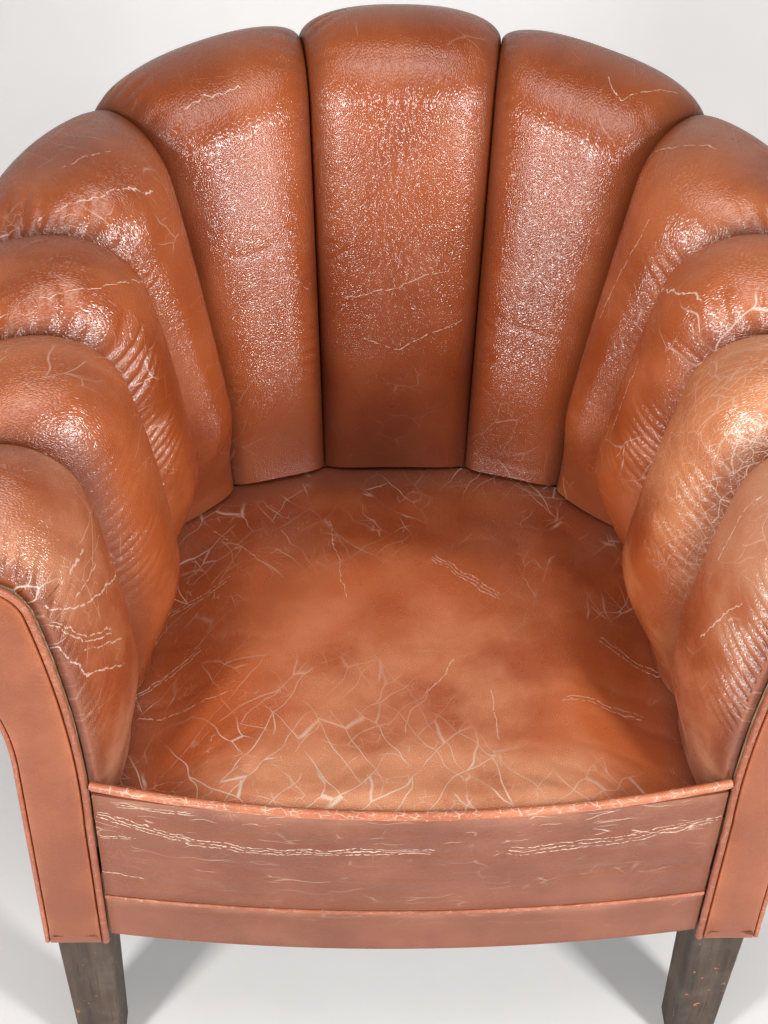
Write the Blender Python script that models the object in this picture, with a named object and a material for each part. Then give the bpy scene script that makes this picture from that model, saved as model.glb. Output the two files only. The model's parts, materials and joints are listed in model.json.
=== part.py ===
"""Worn leather club chair with a channelled tub back, built piece by piece in metres, +Z up.

The front of the chair faces -Y. Left and right are as seen from the front, so left is -X.
The origin is on the floor, under the middle of the chair.

The padded wall that makes the arms and back is one horseshoe. A place on it has two numbers:
the channel number q, which is 0 at the middle of the back and grows towards the right arm's
front, and a row on the vertical cut through the wall. Each channel runs from q - 0.5 to q + 0.5.
"""

import math
from functools import lru_cache

import bmesh
import bpy
import numpy as np
from mathutils import Vector

# Heights above the floor
floor_clearance = 0.216       # underside of the seat rails
facing_bottom = 0.205         # lower edge of the arm facings and outside panels
rail_height = 0.086           # seat rails, top to bottom
wall_foot = 0.375             # where the channels stand on the rim of the seat
back_height = 0.768           # top of the seams at the middle of the back
arm_height = 0.664            # top of the wall at the arm fronts
height_fall = 0.78            # under 1, the top falls sooner on its way to the arm fronts

# Plan of the horseshoe: line where the wall meets the seat, and line under the crest
foot_half_width = 0.262
foot_bend_depth = 0.205
foot_back = 0.475             # facing plane to the seat's back edge
foot_squareness = 2.4
foot_flare = 0.007            # how much wider the arms stand at the front
crest_half_width = 0.338
crest_bend_depth = 0.300
crest_back = 0.633            # facing plane to the middle of the crest roll
crest_squareness = 2.2
crest_flare = -0.003

# Section of the wall
back_roll = 0.048             # radius of the roll along the top
arm_roll = 0.045
back_overhang = 0.066         # how far the roll stands out past the wall below it
arm_overhang = 0.052
back_flare_end = 0.300        # height where the outside becomes upright
arm_flare_end = 0.450
back_face_bow = math.radians(2)   # how far the inner face turns from the foot to the roll
arm_face_bow = math.radians(7)
back_roll_end = math.radians(-8)
arm_roll_end = math.radians(-28)

# Channels: widths along the foot and along the crest, the middle one first
foot_widths = (0.150, 0.105, 0.107, 0.111, 0.120, 0.130)
crest_widths = (0.196, 0.197, 0.200, 0.125, 0.115, 0.120)
seam_height = 0.006           # how high the leather stands at a seam
seam_gap = 0.0005
channel_end = 0.036           # how far the channels run down the outside of the roll
face_fullness = (0.036, 0.039, 0.061, 0.066, 0.058, 0.037)    # stuffing beyond the seams
crest_fullness = (0.033, 0.029, 0.020, 0.025, 0.026, 0.029)
foot_fullness = (0.014, 0.016, 0.022, 0.026, 0.024, 0.015)
foot_swell = 0.36             # share of the inner face over which the stuffing swells
end_fullness = 0.006
crest_settle = 0.45           # share of the roll over which the fullness goes over to that of the crest
roll_thinning = 0.8           # fullness left where the roll ends
gather_depth = 0.0022         # pleats where the leather is drawn in at the front seams
front_skew = 0.26             # the front arm channels are fullest behind their middle

# Fits
seat_gap = 0.0005             # clearance between pieces that bear on each other
curve_gap = 0.0009            # clearance between curved pieces that bear on each other
lining_gap = 0.0013
lining_thickness = 0.002
leather_thickness = 0.0025

# Wooden frame
rail_thickness = 0.038
post_width = 0.049            # front legs where they enter the upholstery
post_depth = 0.054
post_outset = 0.001           # front legs stand this far outside the wall's foot
foot_width = 0.041            # front legs on the floor
foot_depth = 0.044
foot_shift = 0.001            # how far the feet stand towards the middle of the chair
front_post_top = 0.335
rear_leg_place = 1.85         # channel number of the rear legs
rear_leg_width = 0.050
rear_foot_width = 0.040
rear_leg_inset = 0.036        # middle of the rear legs inside the face of the back rail
rear_leg_rake = 0.045
leg_chamfer = 0.002
tack_rail_thickness = 0.020
upright_places = (0.5, 2.0)
upright_thickness = 0.025
upright_width = 0.042
upright_clearance = 0.0056    # to the outside cover, which curves
upright_bends = (0, 0.28, 0.5, 0.66, 0.82)    # heights where an upright bends, as shares
crest_rail_drop = 0.030       # depth of the crest rails below the middle of the roll
crest_rail_half = 0.55        # half the width of their undersides, as a share of the roll
crest_rail_split = 0.003      # in channel numbers
arm_post_width = 0.028
arm_post_shift = 0.010        # how far inside the middle of the roll the post ends
front_rail_thickness = 0.030
side_rail_stop = 0.3          # in channel numbers, behind the front legs
tack_rail_stop = 0.01
canvas_lap = 0.005            # how far the spring canvas lies on the rails
canvas_play = 0.003           # between the canvas and the front legs
canvas_front = 0.016          # behind the face of the border

# Seat
pipe_height = 0.421           # middle of the piping along the seat's front edge
pipe_radius = 0.0045
pipe_proud = 0.0005           # middle of the piping in front of the band's surface
pipe_rise = 0.007             # the piping is this much higher at its ends
pipe_bow = 0.027              # how far the front edge bows out past the facings
rail_bow = 0.019
border_top = 0.272            # seam between the front band and the border below it
front_margin = 0.0018         # ends of the front panels inside the wall's foot
front_half_width = foot_half_width + foot_flare - front_margin
front_offset = 0.0045         # leather surface in front of the facing plane, at the ends
band_foot = 0.003             # lower edge of the band above the border seam
band_head = 0.002             # upper edge of the band below the piping
border_head = 0.0008          # upper edge of the border below its welt
border_welt_sink = 0.0002
cushion_inset = 0.0095
rim_start = 0.9               # where the seat's flat rim starts, as a share of half the width
crown_front = 0.040
crown_back = 0.022
hessian_thickness = 0.0015
webbing_thickness = 0.002
webbing_width = 0.055
webbing_pitch_x = 0.150
webbing_pitch_y = 0.120
webbing_first_y = 0.125       # first cross strap behind the facing plane
webbing_side = 0.010          # ends of the straps inside the outside of the chair
webbing_back = 0.042
webbing_front = 0.0095        # ends of the straps in front of the facing plane
dust_cloth_thickness = 0.0017
dust_cloth_side = 0.006       # edges of the cloth inside the outside covers
dust_cloth_front = 0.010
dust_cloth_play = 0.002       # between the cloth and the front legs
leg_opening_play = 0.003
spring_radius = 0.036
spring_waist = 0.025
spring_turns = 4
spring_steps = 6              # points to a turn
spring_wire = 0.0018
spring_play = 0.0003

# Facings and welts
facing_thickness = 0.008
inner_welt_radius = 0.0035    # along the inner edge of the facing
inner_welt_depth = 0.005      # middle of this welt in front of the facing's back
outer_welt_radius = 0.0025
outer_welt_depth = 0.0044
corner_welt_rise = 0.0026
rim_welt_rise = 0.0005
rim_welt_radius = 0.003
rim_welt_gap = 0.0023         # between the channels' lower ends and the welt
border_welt_radius = 0.002

# The front edge and the rear of the roll are equally far from the origin
front_reach = pipe_bow + front_offset + pipe_proud + pipe_radius
back_reach = crest_back + back_roll + crest_fullness[0] * roll_thinning + seam_height
facing_y = (front_reach - back_reach) / 2

rail_bottom = floor_clearance
rail_top = rail_bottom + rail_height
last_seam = len(foot_widths) - 0.5
panel_seam = 2.5              # channel number where the outside back meets the outside arm
panel_gap = 0.008             # in channel numbers
panel_stop = 0.004            # between the outside arm and the facing, in channel numbers
corner_columns = [0, 0.5, 1, 1.25, 1.5, 1.75, 2, 2.25]


def clear_scene():
    for old in list(bpy.data.objects):
        bpy.data.objects.remove(old, do_unlink=True)


def blend(a, b, share):
    return a + (b - a) * share


def smooth(share):
    share = min(1.0, max(0.0, share))
    return share * share * (3 - 2 * share)


def bezier(t, first, leave, arrive, last):
    return ((1 - t) ** 3 * first + 3 * (1 - t) ** 2 * t * leave
            + 3 * (1 - t) * t ** 2 * arrive + t ** 3 * last)


def make_materials():
    finishes = {
        "leather": ((0.43, 0.145, 0.058), 0.42, 0.0),
        "leg_wood": ((0.075, 0.045, 0.030), 0.50, 0.0),
        "frame_wood": ((0.55, 0.38, 0.22), 0.65, 0.0),
        "spring_steel": ((0.50, 0.49, 0.46), 0.40, 1.0),
        "jute": ((0.52, 0.40, 0.25), 0.90, 0.0),
        "dust_cloth": ((0.03, 0.03, 0.032), 0.95, 0.0),
    }
    made = {}
    for name, (color, roughness, metallic) in finishes.items():
        material = bpy.data.materials.new(name)
        material.use_nodes = True
        shader = material.node_tree.nodes["Principled BSDF"]
        shader.inputs["Base Color"].default_value = (*color, 1.0)
        shader.inputs["Roughness"].default_value = roughness
        shader.inputs["Metallic"].default_value = metallic
        made[name] = material
    return made


# Plan lines of the horseshoe

@lru_cache(maxsize=None)
def plan_line(half_width, bend_depth, back, squareness, flare):
    """Points from the middle of the back to the arm front, with the length run at each."""
    turn = np.linspace(0.0, math.pi / 2, 200)
    x = half_width * np.sin(turn) ** (2 / squareness)
    y = back - bend_depth + bend_depth * np.cos(turn) ** (2 / squareness)
    x = np.append(x, half_width + flare)
    y = np.append(y, 0.0)
    run = np.concatenate([[0.0], np.cumsum(np.hypot(np.diff(x), np.diff(y)))])
    return run, x, y


def place_on_line(line, widths, q):
    """Plan point at channel number q, where the widths share out the whole line."""
    run, x, y = line
    edges = np.concatenate([[0.0], widths[0] / 2 + np.cumsum([0.0, *widths[1:]])])
    edges *= run[-1] / edges[-1]
    numbers = np.concatenate([[0.0], 0.5 + np.arange(len(widths))])
    at = np.interp(abs(q), numbers, edges)
    side = -1.0 if q < 0 else 1.0
    return Vector((side * np.interp(at, run, x), np.interp(at, run, y)))


class WallSection:
    """Upright cut through the padded wall; d runs out from the seat, z up.

    Each method gives (d, z, normal d, normal z) for one stretch of the outline."""

    def __init__(self, q):
        foot_line = plan_line(foot_half_width, foot_bend_depth, foot_back,
                              foot_squareness, foot_flare)
        crest_line = plan_line(crest_half_width, crest_bend_depth, crest_back,
                               crest_squareness, crest_flare)
        self.foot = place_on_line(foot_line, foot_widths, q)
        out = place_on_line(crest_line, crest_widths, q) - self.foot
        self.depth = out.length
        self.out = out.normalized()
        along = min(1.0, max(0.0, (abs(q) - 0.5) / (last_seam - 0.5)))
        corner = smooth((abs(q) - 1.0) / 1.5)
        self.roll = blend(back_roll, arm_roll, corner)
        self.center_z = blend(back_height, arm_height, along ** height_fall) - self.roll
        rise = self.center_z - wall_foot
        lean = math.atan2(rise, self.depth) + math.asin(self.roll / math.hypot(rise, self.depth))
        bow = blend(back_face_bow, arm_face_bow, corner)
        self.start = lean - bow + math.pi / 2
        self.inner_curve = self.trace_inner(lean + bow)
        self.end = blend(back_roll_end, arm_roll_end, corner)
        self.outside = self.depth + self.roll - blend(back_overhang, arm_overhang, corner)
        self.flare_end = blend(back_flare_end, arm_flare_end, corner)
        self.outer_points = self.trace_outside()
        steps = np.hypot(*np.diff(self.outer_points, axis=0).T)
        self.outer_run = np.concatenate([[0.0], np.cumsum(steps)])

    def trace_inner(self, foot_lean):
        """Control points of the inner face, from the seat to the roll."""
        foot = np.array([0.0, wall_foot])
        head = np.array([self.depth + self.roll * math.cos(self.start),
                         self.center_z + self.roll * math.sin(self.start)])
        reach = np.linalg.norm(head - foot) / 3
        leave = foot + reach * np.array([math.cos(foot_lean), math.sin(foot_lean)])
        arrive = head - reach * np.array([math.sin(self.start), -math.cos(self.start)])
        return foot, leave, arrive, head

    def trace_outside(self):
        """The outside, from the roll down a smooth flare to an upright stretch."""
        first = np.array([self.depth + self.roll * math.cos(self.end),
                          self.center_z + self.roll * math.sin(self.end)])
        last = np.array([self.outside, self.flare_end])
        reach = 0.42 * np.linalg.norm(last - first)
        leave = first + reach * np.array([math.sin(self.end), -math.cos(self.end)])
        arrive = last + np.array([0.0, reach])
        t = np.linspace(0.0, 1.0, 25)[:, None]
        return np.vstack([bezier(t, first, leave, arrive, last), [self.outside, facing_bottom]])

    @property
    def outer_length(self):
        return float(self.outer_run[-1])

    def lower(self, share):
        return 0.0, blend(wall_foot, facing_bottom, share), -1.0, 0.0

    def inner(self, share):
        d, z = bezier(share, *self.inner_curve)
        step = 1e-4
        ahead = bezier(share + step, *self.inner_curve) - bezier(share - step, *self.inner_curve)
        td, tz = ahead / np.linalg.norm(ahead)
        return d, z, -tz, td

    def crest(self, share):
        turn = blend(self.start, self.end, share)
        nd, nz = math.cos(turn), math.sin(turn)
        return self.depth + self.roll * nd, self.center_z + self.roll * nz, nd, nz

    def outer(self, distance):
        at = min(distance, self.outer_length)
        d, z = (float(np.interp(at, self.outer_run, c)) for c in self.outer_points.T)
        i = min(int(np.searchsorted(self.outer_run, at, side="right")), len(self.outer_run) - 1)
        td, tz = self.outer_points[i] - self.outer_points[i - 1]
        length = math.hypot(td, tz)
        return d, z, -tz / length, td / length

    def outer_at(self, z):
        """Distance of the outside from the seat at this height."""
        heights = self.outer_points[::-1, 1]
        return float(np.interp(z, heights, self.outer_points[::-1, 0]))

    def place(self, d, z):
        flat = self.foot + self.out * d
        return Vector((flat.x, flat.y + facing_y, z))


@lru_cache(maxsize=None)
def section(q):
    return WallSection(q)


def wall_point(q, row, offset=0.0):
    """Point on the wall at channel number q and a row such as ("inner", 0.5), moved out by offset."""
    cut = section(round(q, 6))
    d, z, nd, nz = getattr(cut, row[0])(row[1])
    return cut.place(d + nd * offset, z + nz * offset)


# Solids

def add_object(name, mesh, material, smooth_angle=None):
    made = bpy.data.objects.new(name, mesh)
    bpy.context.scene.collection.objects.link(made)
    mesh.materials.append(material)
    if smooth_angle is not None:
        mesh.shade_smooth()
        mesh.set_sharp_from_angle(angle=math.radians(smooth_angle))
    return made


def mesh_from(name, points, faces):
    built = bmesh.new()
    corners = [built.verts.new(p) for p in points]
    for face in faces:
        built.faces.new([corners[i] for i in face])
    bmesh.ops.recalc_face_normals(built, faces=built.faces)
    mesh = bpy.data.meshes.new(name)
    built.to_mesh(mesh)
    built.free()
    return mesh


def solid_between(name, front, back, material, smooth_angle=40):
    """Closed solid between two grids of points with equal rows.

    All grids are split along the same diagonal, so that pieces that bear on each other match."""
    rows, wide, narrow = len(front), len(front[0]), len(back[0])
    points = [p for row in front for p in row] + [p for row in back for p in row]
    start = rows * wide

    def face_grid(columns, first):
        for r in range(rows - 1):
            for c in range(columns - 1):
                a = first + r * columns + c
                b = a + columns
                yield (a, a + 1, b + 1)
                yield (a, b + 1, b)

    faces = [*face_grid(wide, 0), *face_grid(narrow, start)]
    for r in range(rows - 1):
        for f, b in ((0, 0), (wide - 1, narrow - 1)):
            faces.append((r * wide + f, (r + 1) * wide + f,
                          start + (r + 1) * narrow + b, start + r * narrow + b))
    for r in (0, rows - 1):
        faces.append([*range(r * wide, (r + 1) * wide),
                      *reversed(range(start + r * narrow, start + (r + 1) * narrow))])
    return add_object(name, mesh_from(name, points, faces), material, smooth_angle)


def wall_band(name, columns, rows, outside, inside, material):
    """Sheet or board that follows the wall between two offsets from its surface."""
    front = [[wall_point(q, row, outside) for q in columns] for row in rows]
    back = [[wall_point(q, row, inside) for q in columns] for row in rows]
    return solid_between(name, front, back, material)


def loft(name, rings, material, smooth_angle=None):
    """Solid through closed rings of equally many points, with flat ends."""
    count = len(rings[0])
    points = [p for ring in rings for p in ring]
    faces = []
    for r in range(len(rings) - 1):
        for c in range(count):
            after = (c + 1) % count
            faces.append((r * count + c, r * count + after,
                          (r + 1) * count + after, (r + 1) * count + c))
    faces.append(list(range(count)))
    faces.append([(len(rings) - 1) * count + c for c in range(count)])
    return add_object(name, mesh_from(name, points, faces), material, smooth_angle)


def plate(name, outline, bottom, thickness, material):
    """Flat sheet with this outline in plan."""
    rings = [[Vector((x, y, z)) for x, y in outline] for z in (bottom, bottom + thickness)]
    return loft(name, rings, material)


def cord(name, path, radius, material, sides=1):
    """Round cord along a path of points."""
    curve = bpy.data.curves.new(name, "CURVE")
    curve.dimensions = "3D"
    curve.bevel_depth = radius
    curve.bevel_resolution = sides
    curve.use_fill_caps = True
    spline = curve.splines.new("POLY")
    spline.points.add(len(path) - 1)
    for point, place in zip(spline.points, path):
        point.co = (*place, 1.0)
    made = bpy.data.objects.new(name, curve)
    bpy.context.scene.collection.objects.link(made)
    curve.materials.append(material)
    return made


# Channels

def fullness(row, number):
    """How far the stuffing stands out along a channel, from the seat over the roll."""
    kind, value = row
    face, crest = face_fullness[abs(number)], crest_fullness[abs(number)]
    if kind == "inner":
        return blend(foot_fullness[abs(number)], face, smooth(value / foot_swell))
    if kind == "crest":
        return blend(face, crest, smooth(value / crest_settle)) * blend(1.0, roll_thinning, smooth(value))
    return blend(crest * roll_thinning, end_fullness, smooth(value / channel_end))


def channel_profile(t, number):
    """Cross-section of a channel, from -1 at one seam to 1 at the other."""
    if abs(number) == len(foot_widths) - 1:
        toward_front = t if number > 0 else -t
        shift = front_skew * (1 - toward_front * toward_front)
        t = toward_front + shift
        power = 2.0 if t > 0 else 2.6
        return max(0.0, 1 - abs(t) ** power) ** 0.62
    return max(0.0, 1 - abs(t) ** 2.5) ** 0.5


def gather(t, number, row, index):
    """Alternate pleats beside the seam that faces the front, strongest over the roll."""
    toward_front = t if number > 0 else -t
    if toward_front < 0.1:
        return 0.0
    kind, value = row
    along = {"inner": smooth((value - 0.45) / 0.3), "crest": 1 - smooth((value - 0.5) / 0.5),
             "outer": 0.0}[kind]
    across = smooth((toward_front - 0.1) / 0.5)
    return gather_depth * along * across * (1 if index % 2 else -1)


def channel_rows(pleated):
    outside = [("outer", 0.5 * channel_end), ("outer", channel_end)]
    if not pleated:
        face = [("inner", s) for s in (0.0, 0.06, 0.2, 0.35, 0.5, 0.65, 0.8, 0.92)]
        return face + [("crest", s / 6) for s in range(7)] + outside
    face = [("inner", s) for s in (0.0, 0.06, 0.17, 0.32)]
    face += [("inner", 0.48 + 0.065 * s) for s in range(8)]
    face += [("crest", s / 12) for s in range(7)]
    return face + [("crest", s / 6) for s in range(4, 7)] + outside


def make_channel(name, number, material):
    pleated = abs(number) >= 2
    rows = channel_rows(pleated)
    first, last = number - 0.5, number + 0.5
    width = foot_widths[abs(number)]
    edge = seam_gap / 2 / width
    across = [-math.cos(math.pi * k / 7) for k in range(8)]
    front = []
    for index, row in enumerate(rows):
        line = []
        for t in across:
            q = number + t * (0.5 - edge)
            rise = fullness(row, number) * channel_profile(t, number) + gather(t, number, row, index)
            if abs(t) == 1:
                rise = 0.0
            point = wall_point(q, row, seam_height + rise)
            line.append(Vector((point.x, point.y, max(point.z, wall_foot))))
        front.append(line)
    middle = [number] if abs(number) <= 2 else []
    back_columns = [first + edge, *middle, last - edge]
    back = [[wall_point(q, row) for q in back_columns] for row in rows]
    return solid_between(name, front, back, material, 50)


def make_channels(leather):
    make_channel("channel_center", 0, leather)
    for number in range(1, len(foot_widths)):
        make_channel(f"channel_left_{number}", -number, leather)
        make_channel(f"channel_right_{number}", number, leather)


# Wall: lining, crest rails, uprights, outside covers

def mirrored(values):
    return sorted({-v for v in values} | set(values))


def make_lining(jute):
    columns = mirrored([0, 0.5, 1, 1.5, 2, 2.5, 3.5, 4.5, last_seam])
    rows = [("inner", s) for s in (0.0, 0.2, 0.5, 0.8)] + [("crest", s / 6) for s in range(7)]
    rows.append(("outer", 0.5 * channel_end))
    wall_band("inside_lining", columns, rows, -lining_gap, -lining_gap - lining_thickness, jute)


def make_crest_rail(name, columns, wood):
    """Rounded board under the roll, which the lining is drawn over."""
    depth = lining_gap + lining_thickness + seat_gap
    front, back = [], []
    for q in columns:
        cut = section(q)
        front.append([wall_point(q, ("crest", s / 6), -depth) for s in range(7)])
        low = cut.center_z - crest_rail_drop
        half = crest_rail_half * cut.roll
        back.append([cut.place(cut.depth - half, low), cut.place(cut.depth + half, low)])
    return solid_between(name, front, back, wood)


def make_crest_rails(wood):
    gap = crest_rail_split
    make_crest_rail("top_rail", mirrored([0, 0.5, 1, 1.5, 2, panel_seam - gap]), wood)
    arm = [panel_seam + gap, 3.5, 4.5, last_seam - gap]
    make_crest_rail("arm_rail_left", [-q for q in reversed(arm)], wood)
    make_crest_rail("arm_rail_right", arm, wood)


def box_ring(q, d, heights, depth, width):
    """Rectangle of points in the wall, square to the outside, around distance d from the seat.

    Its two ends along the wall have their own heights."""
    before, after = (section(q + step).place(section(q + step).outside, 0.0)
                     for step in (-0.1, 0.1))
    side = (after - before).normalized()
    out = Vector((-side.y, side.x, 0.0))
    return [section(q).place(d, heights[b > 0]) + out * (a * depth / 2) + side * (b * width / 2)
            for a, b in ((-1, -1), (1, -1), (1, 1), (-1, 1))]


def make_uprights(wood):
    """Back uprights, from the seat rail to the top rail, inside the flare of the outside."""
    for side, sign in (("left", -1), ("right", 1)):
        for kind, place in zip(("inner", "outer"), upright_places):
            q = sign * place
            cut = section(q)
            inside = leather_thickness + upright_clearance + upright_thickness / 2
            low, top = rail_top + seat_gap, cut.center_z - crest_rail_drop - curve_gap
            rings = []
            for share in upright_bends:
                z = blend(low, top, share)
                rings.append(box_ring(q, cut.outer_at(z) - inside, (z, z),
                                      upright_thickness, upright_width))
            tilt = upright_width / 2 / crest_widths[round(place)]
            heads = [section(q + b * tilt).center_z - crest_rail_drop - curve_gap
                     for b in (-1, 1)]
            rings.append(box_ring(q, cut.depth, heads, upright_thickness, upright_width))
            loft(f"back_upright_{side}_{kind}", rings, wood)


def make_outside_panel(name, columns, leather):
    top = channel_end + 2 * rim_welt_radius + rim_welt_gap + curve_gap
    front, back = [], []
    for share in (0.0, 0.13, 0.28, 0.45, 1.0):
        rows = [("outer", blend(top, section(q).outer_length, share)) for q in columns]
        front.append([wall_point(q, row) for q, row in zip(columns, rows)])
        back.append([wall_point(q, row, -leather_thickness) for q, row in zip(columns, rows)])
    return solid_between(name, front, back, leather, 50)


def make_outside(leather):
    make_outside_panel("outside_back", mirrored([*corner_columns, panel_seam - panel_gap]), leather)
    arm = [panel_seam + panel_gap, 2.75, 3.5, 4.5, last_seam - panel_stop]
    make_outside_panel("outside_arm_left", [-q for q in reversed(arm)], leather)
    make_outside_panel("outside_arm_right", arm, leather)
    center = channel_end + rim_welt_radius + rim_welt_gap
    corner = [1 + 0.125 * k for k in range(13)]
    columns = mirrored([0, 0.5, *corner, 2.75, 3.5, 4.5, last_seam - panel_stop])
    rim = [wall_point(q, ("outer", center), rim_welt_rise) for q in columns]
    cord("rim_welt", rim, rim_welt_radius, leather, 0)
    top = center + rim_welt_radius + 2 * curve_gap
    for side, sign in (("left", -1), ("right", 1)):
        q = sign * panel_seam
        rows = [blend(top, section(q).outer_length, s / 7) for s in range(8)]
        path = [wall_point(q, ("outer", r), corner_welt_rise) for r in rows]
        cord(f"corner_welt_{side}", path, outer_welt_radius, leather, 0)


# Seat frame

def rail_solid(name, columns, wood):
    """Seat rail that follows the foot of the outside covers, behind the front legs."""
    face = leather_thickness + seat_gap
    front, back = [], []
    for z in (rail_bottom, rail_top):
        for line, depth in ((front, face), (back, face + rail_thickness)):
            points = [section(q).place(section(q).outside - depth, z) for q in columns]
            for point in points:
                point.y = max(point.y, facing_y + post_depth + 2 * seat_gap)
            line.append(points)
    return solid_between(name, front, back, wood)


def front_surface(x, bow, set_back=0.0):
    """Plan depth of the bowed front at x."""
    return facing_y - front_offset - bow * (1 - (x / front_half_width) ** 2) + set_back


def across_front(half_width, count=8):
    return [half_width * (2 * k / count - 1) for k in range(count + 1)]


def make_rails(wood):
    end = section(last_seam)
    side = [panel_seam + panel_gap, 2.75, 3.5, 4.5, last_seam - side_rail_stop]
    rail_solid("side_rail_left", [-q for q in reversed(side)], wood)
    rail_solid("side_rail_right", side, wood)
    rail_solid("back_rail", mirrored([*corner_columns, panel_seam - panel_gap]), wood)
    half = end.foot.x + post_outset - seat_gap
    near = leather_thickness + seat_gap
    front = [[Vector((x, front_surface(x, rail_bow, near), z)) for x in across_front(half)]
             for z in (rail_bottom, rail_top)]
    back = [[Vector((x, front_surface(x, rail_bow, near + front_rail_thickness), z))
             for x in across_front(half)] for z in (rail_bottom, rail_top)]
    solid_between("front_rail", front, back, wood)


def leg_ring(center, width, depth, z):
    """Level rectangle with cut corners."""
    a, b, cut = width / 2, depth / 2, leg_chamfer
    corners = ((-a + cut, -b), (a - cut, -b), (a, -b + cut), (a, b - cut),
               (a - cut, b), (-a + cut, b), (-a, b - cut), (-a, -b + cut))
    return [Vector((center[0] + x, center[1] + y, z)) for x, y in corners]


def front_post_center(sign):
    x = section(last_seam).foot.x + post_outset + post_width / 2
    return sign * x, facing_y + seat_gap + post_depth / 2


def rear_post_center(sign):
    cut = section(sign * rear_leg_place)
    d = cut.outside - leather_thickness - 2 * seat_gap - rail_thickness - rear_leg_inset
    place = cut.place(d, 0.0)
    return place.x, place.y


def make_legs(leg_wood):
    """Tapered square legs; each runs up inside the seat frame as a post."""
    for side, sign in (("left", -1), ("right", 1)):
        x, y = front_post_center(sign)
        rings = [leg_ring((x - sign * foot_shift, y), foot_width, foot_depth, 0.0),
                 leg_ring((x, y), post_width, post_depth, facing_bottom),
                 leg_ring((x, y), post_width, post_depth, front_post_top)]
        loft(f"front_leg_{side}", rings, leg_wood)
        x, y = rear_post_center(sign)
        out = section(sign * rear_leg_place).out
        foot = (x + out.x * rear_leg_rake, y + out.y * rear_leg_rake)
        rings = [leg_ring(foot, rear_foot_width, rear_foot_width, 0.0),
                 leg_ring((x, y), rear_leg_width, rear_leg_width, facing_bottom),
                 leg_ring((x, y), rear_leg_width, rear_leg_width, rail_top)]
        loft(f"rear_leg_{side}", rings, leg_wood)


def make_arm_posts(wood):
    """Posts on the front legs that carry the arm rails."""
    for side, sign in (("left", -1), ("right", 1)):
        y = front_post_center(sign)[1]
        cut = section(last_seam)
        foot_x = cut.foot.x + 3 * seat_gap + tack_rail_thickness + arm_post_width / 2
        head_x = crest_half_width + crest_flare - arm_post_shift
        rings = []
        for z, mid in ((front_post_top + seat_gap, foot_x), (arm_flare_end, foot_x),
                       (cut.center_z - crest_rail_drop - seat_gap, head_x)):
            half, deep = arm_post_width / 2, post_depth / 2
            rings.append([Vector((sign * mid + a * half, y + b * deep, z))
                          for a, b in ((-1, -1), (1, -1), (1, 1), (-1, 1))])
        loft(f"arm_post_{side}", rings, wood)


def make_tack_rail(wood):
    """Rail round the seat that the lining and channels are tacked to."""
    columns = mirrored([0, 0.5, 1, 1.5, 2, 2.5, 3.5, 4.5, last_seam - tack_rail_stop])
    front, back = [], []
    for z in (front_post_top + seat_gap, wall_foot - lining_gap):
        front.append([section(q).place(seat_gap, z) for q in columns])
        back.append([section(q).place(seat_gap + tack_rail_thickness, z) for q in columns])
    solid_between("tack_rail", front, back, wood)


# Seat

def seat_grid_point(a, b, z, inset, bow, set_back=0.0):
    """Point of the seat in plan: a runs -1 to 1 across, b 0 to 1 from front to back."""
    half = foot_half_width - inset
    depth = foot_bend_depth - inset
    start = foot_back - foot_bend_depth
    back_y = facing_y + start + depth * max(0.0, 1 - abs(a) ** foot_squareness) ** (1 / foot_squareness)
    x = a * blend(half + foot_flare, half, b)
    front_y = front_surface(x, bow, leather_thickness + curve_gap)
    return Vector((x, blend(front_y + set_back, back_y, b), z))


def crown(a, b):
    """Height of the seat above its rim."""
    sides = smooth((rim_start - abs(a)) / 0.35)
    back = smooth((0.94 - b) / 0.30)
    roll = blend(pipe_height - wall_foot, blend(crown_front, crown_back, b), smooth(b / 0.12))
    return sides * back * roll


def bow_at(z):
    return blend(rail_bow, pipe_bow, (z - border_top) / (pipe_height - border_top))


def make_cushion(leather):
    """Stuffed seat; its flat rim carries the channels."""
    across = mirrored([0, 0.3, 0.6, 0.8, rim_start, 1])
    along = [0, 0.04, 0.12, 0.28, 0.48, 0.68, 0.84, 0.94, 1]
    rim = wall_foot - seat_gap
    low = rail_top + hessian_thickness + 2 * seat_gap
    behind_pipe = pipe_radius - pipe_proud - leather_thickness + seat_gap
    top = [[seat_grid_point(a, b, rim + crown(a, b), cushion_inset, pipe_bow, behind_pipe)
            for a in across] for b in along]
    base = [[seat_grid_point(a, b, low, cushion_inset, bow_at(low)) for a in across]
            for b in along]
    solid_between("seat_cushion", top, base, leather, 60)


def make_front(leather):
    """Band, piping, border and welt across the front of the seat."""
    xs = across_front(front_half_width, 10)
    heights = [blend(border_top + band_foot, pipe_height - pipe_radius - band_head, s / 2)
               for s in range(3)]
    front, back = [], []
    for z in heights:
        front.append([Vector((x, front_surface(x, bow_at(z)), z)) for x in xs])
        back.append([Vector((x, front_surface(x, bow_at(z), leather_thickness), z)) for x in xs])
    solid_between("seat_front_band", front, back, leather)
    border_heights = (rail_bottom - seat_gap, border_top - border_welt_radius - border_head)
    front = [[Vector((x, front_surface(x, rail_bow), z)) for x in xs] for z in border_heights]
    back = [[Vector((x, front_surface(x, rail_bow, leather_thickness), z)) for x in xs]
            for z in border_heights]
    solid_between("front_border", front, back, leather)
    fine = across_front(front_half_width, 16)
    path = [Vector((x, front_surface(x, pipe_bow, -pipe_proud),
                    pipe_height + pipe_rise * (x / front_half_width) ** 2)) for x in fine]
    cord("seat_piping", path, pipe_radius, leather)
    path = [Vector((x, front_surface(x, rail_bow, -border_welt_sink), border_top)) for x in fine]
    cord("border_welt", path, border_welt_radius, leather, 0)


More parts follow.
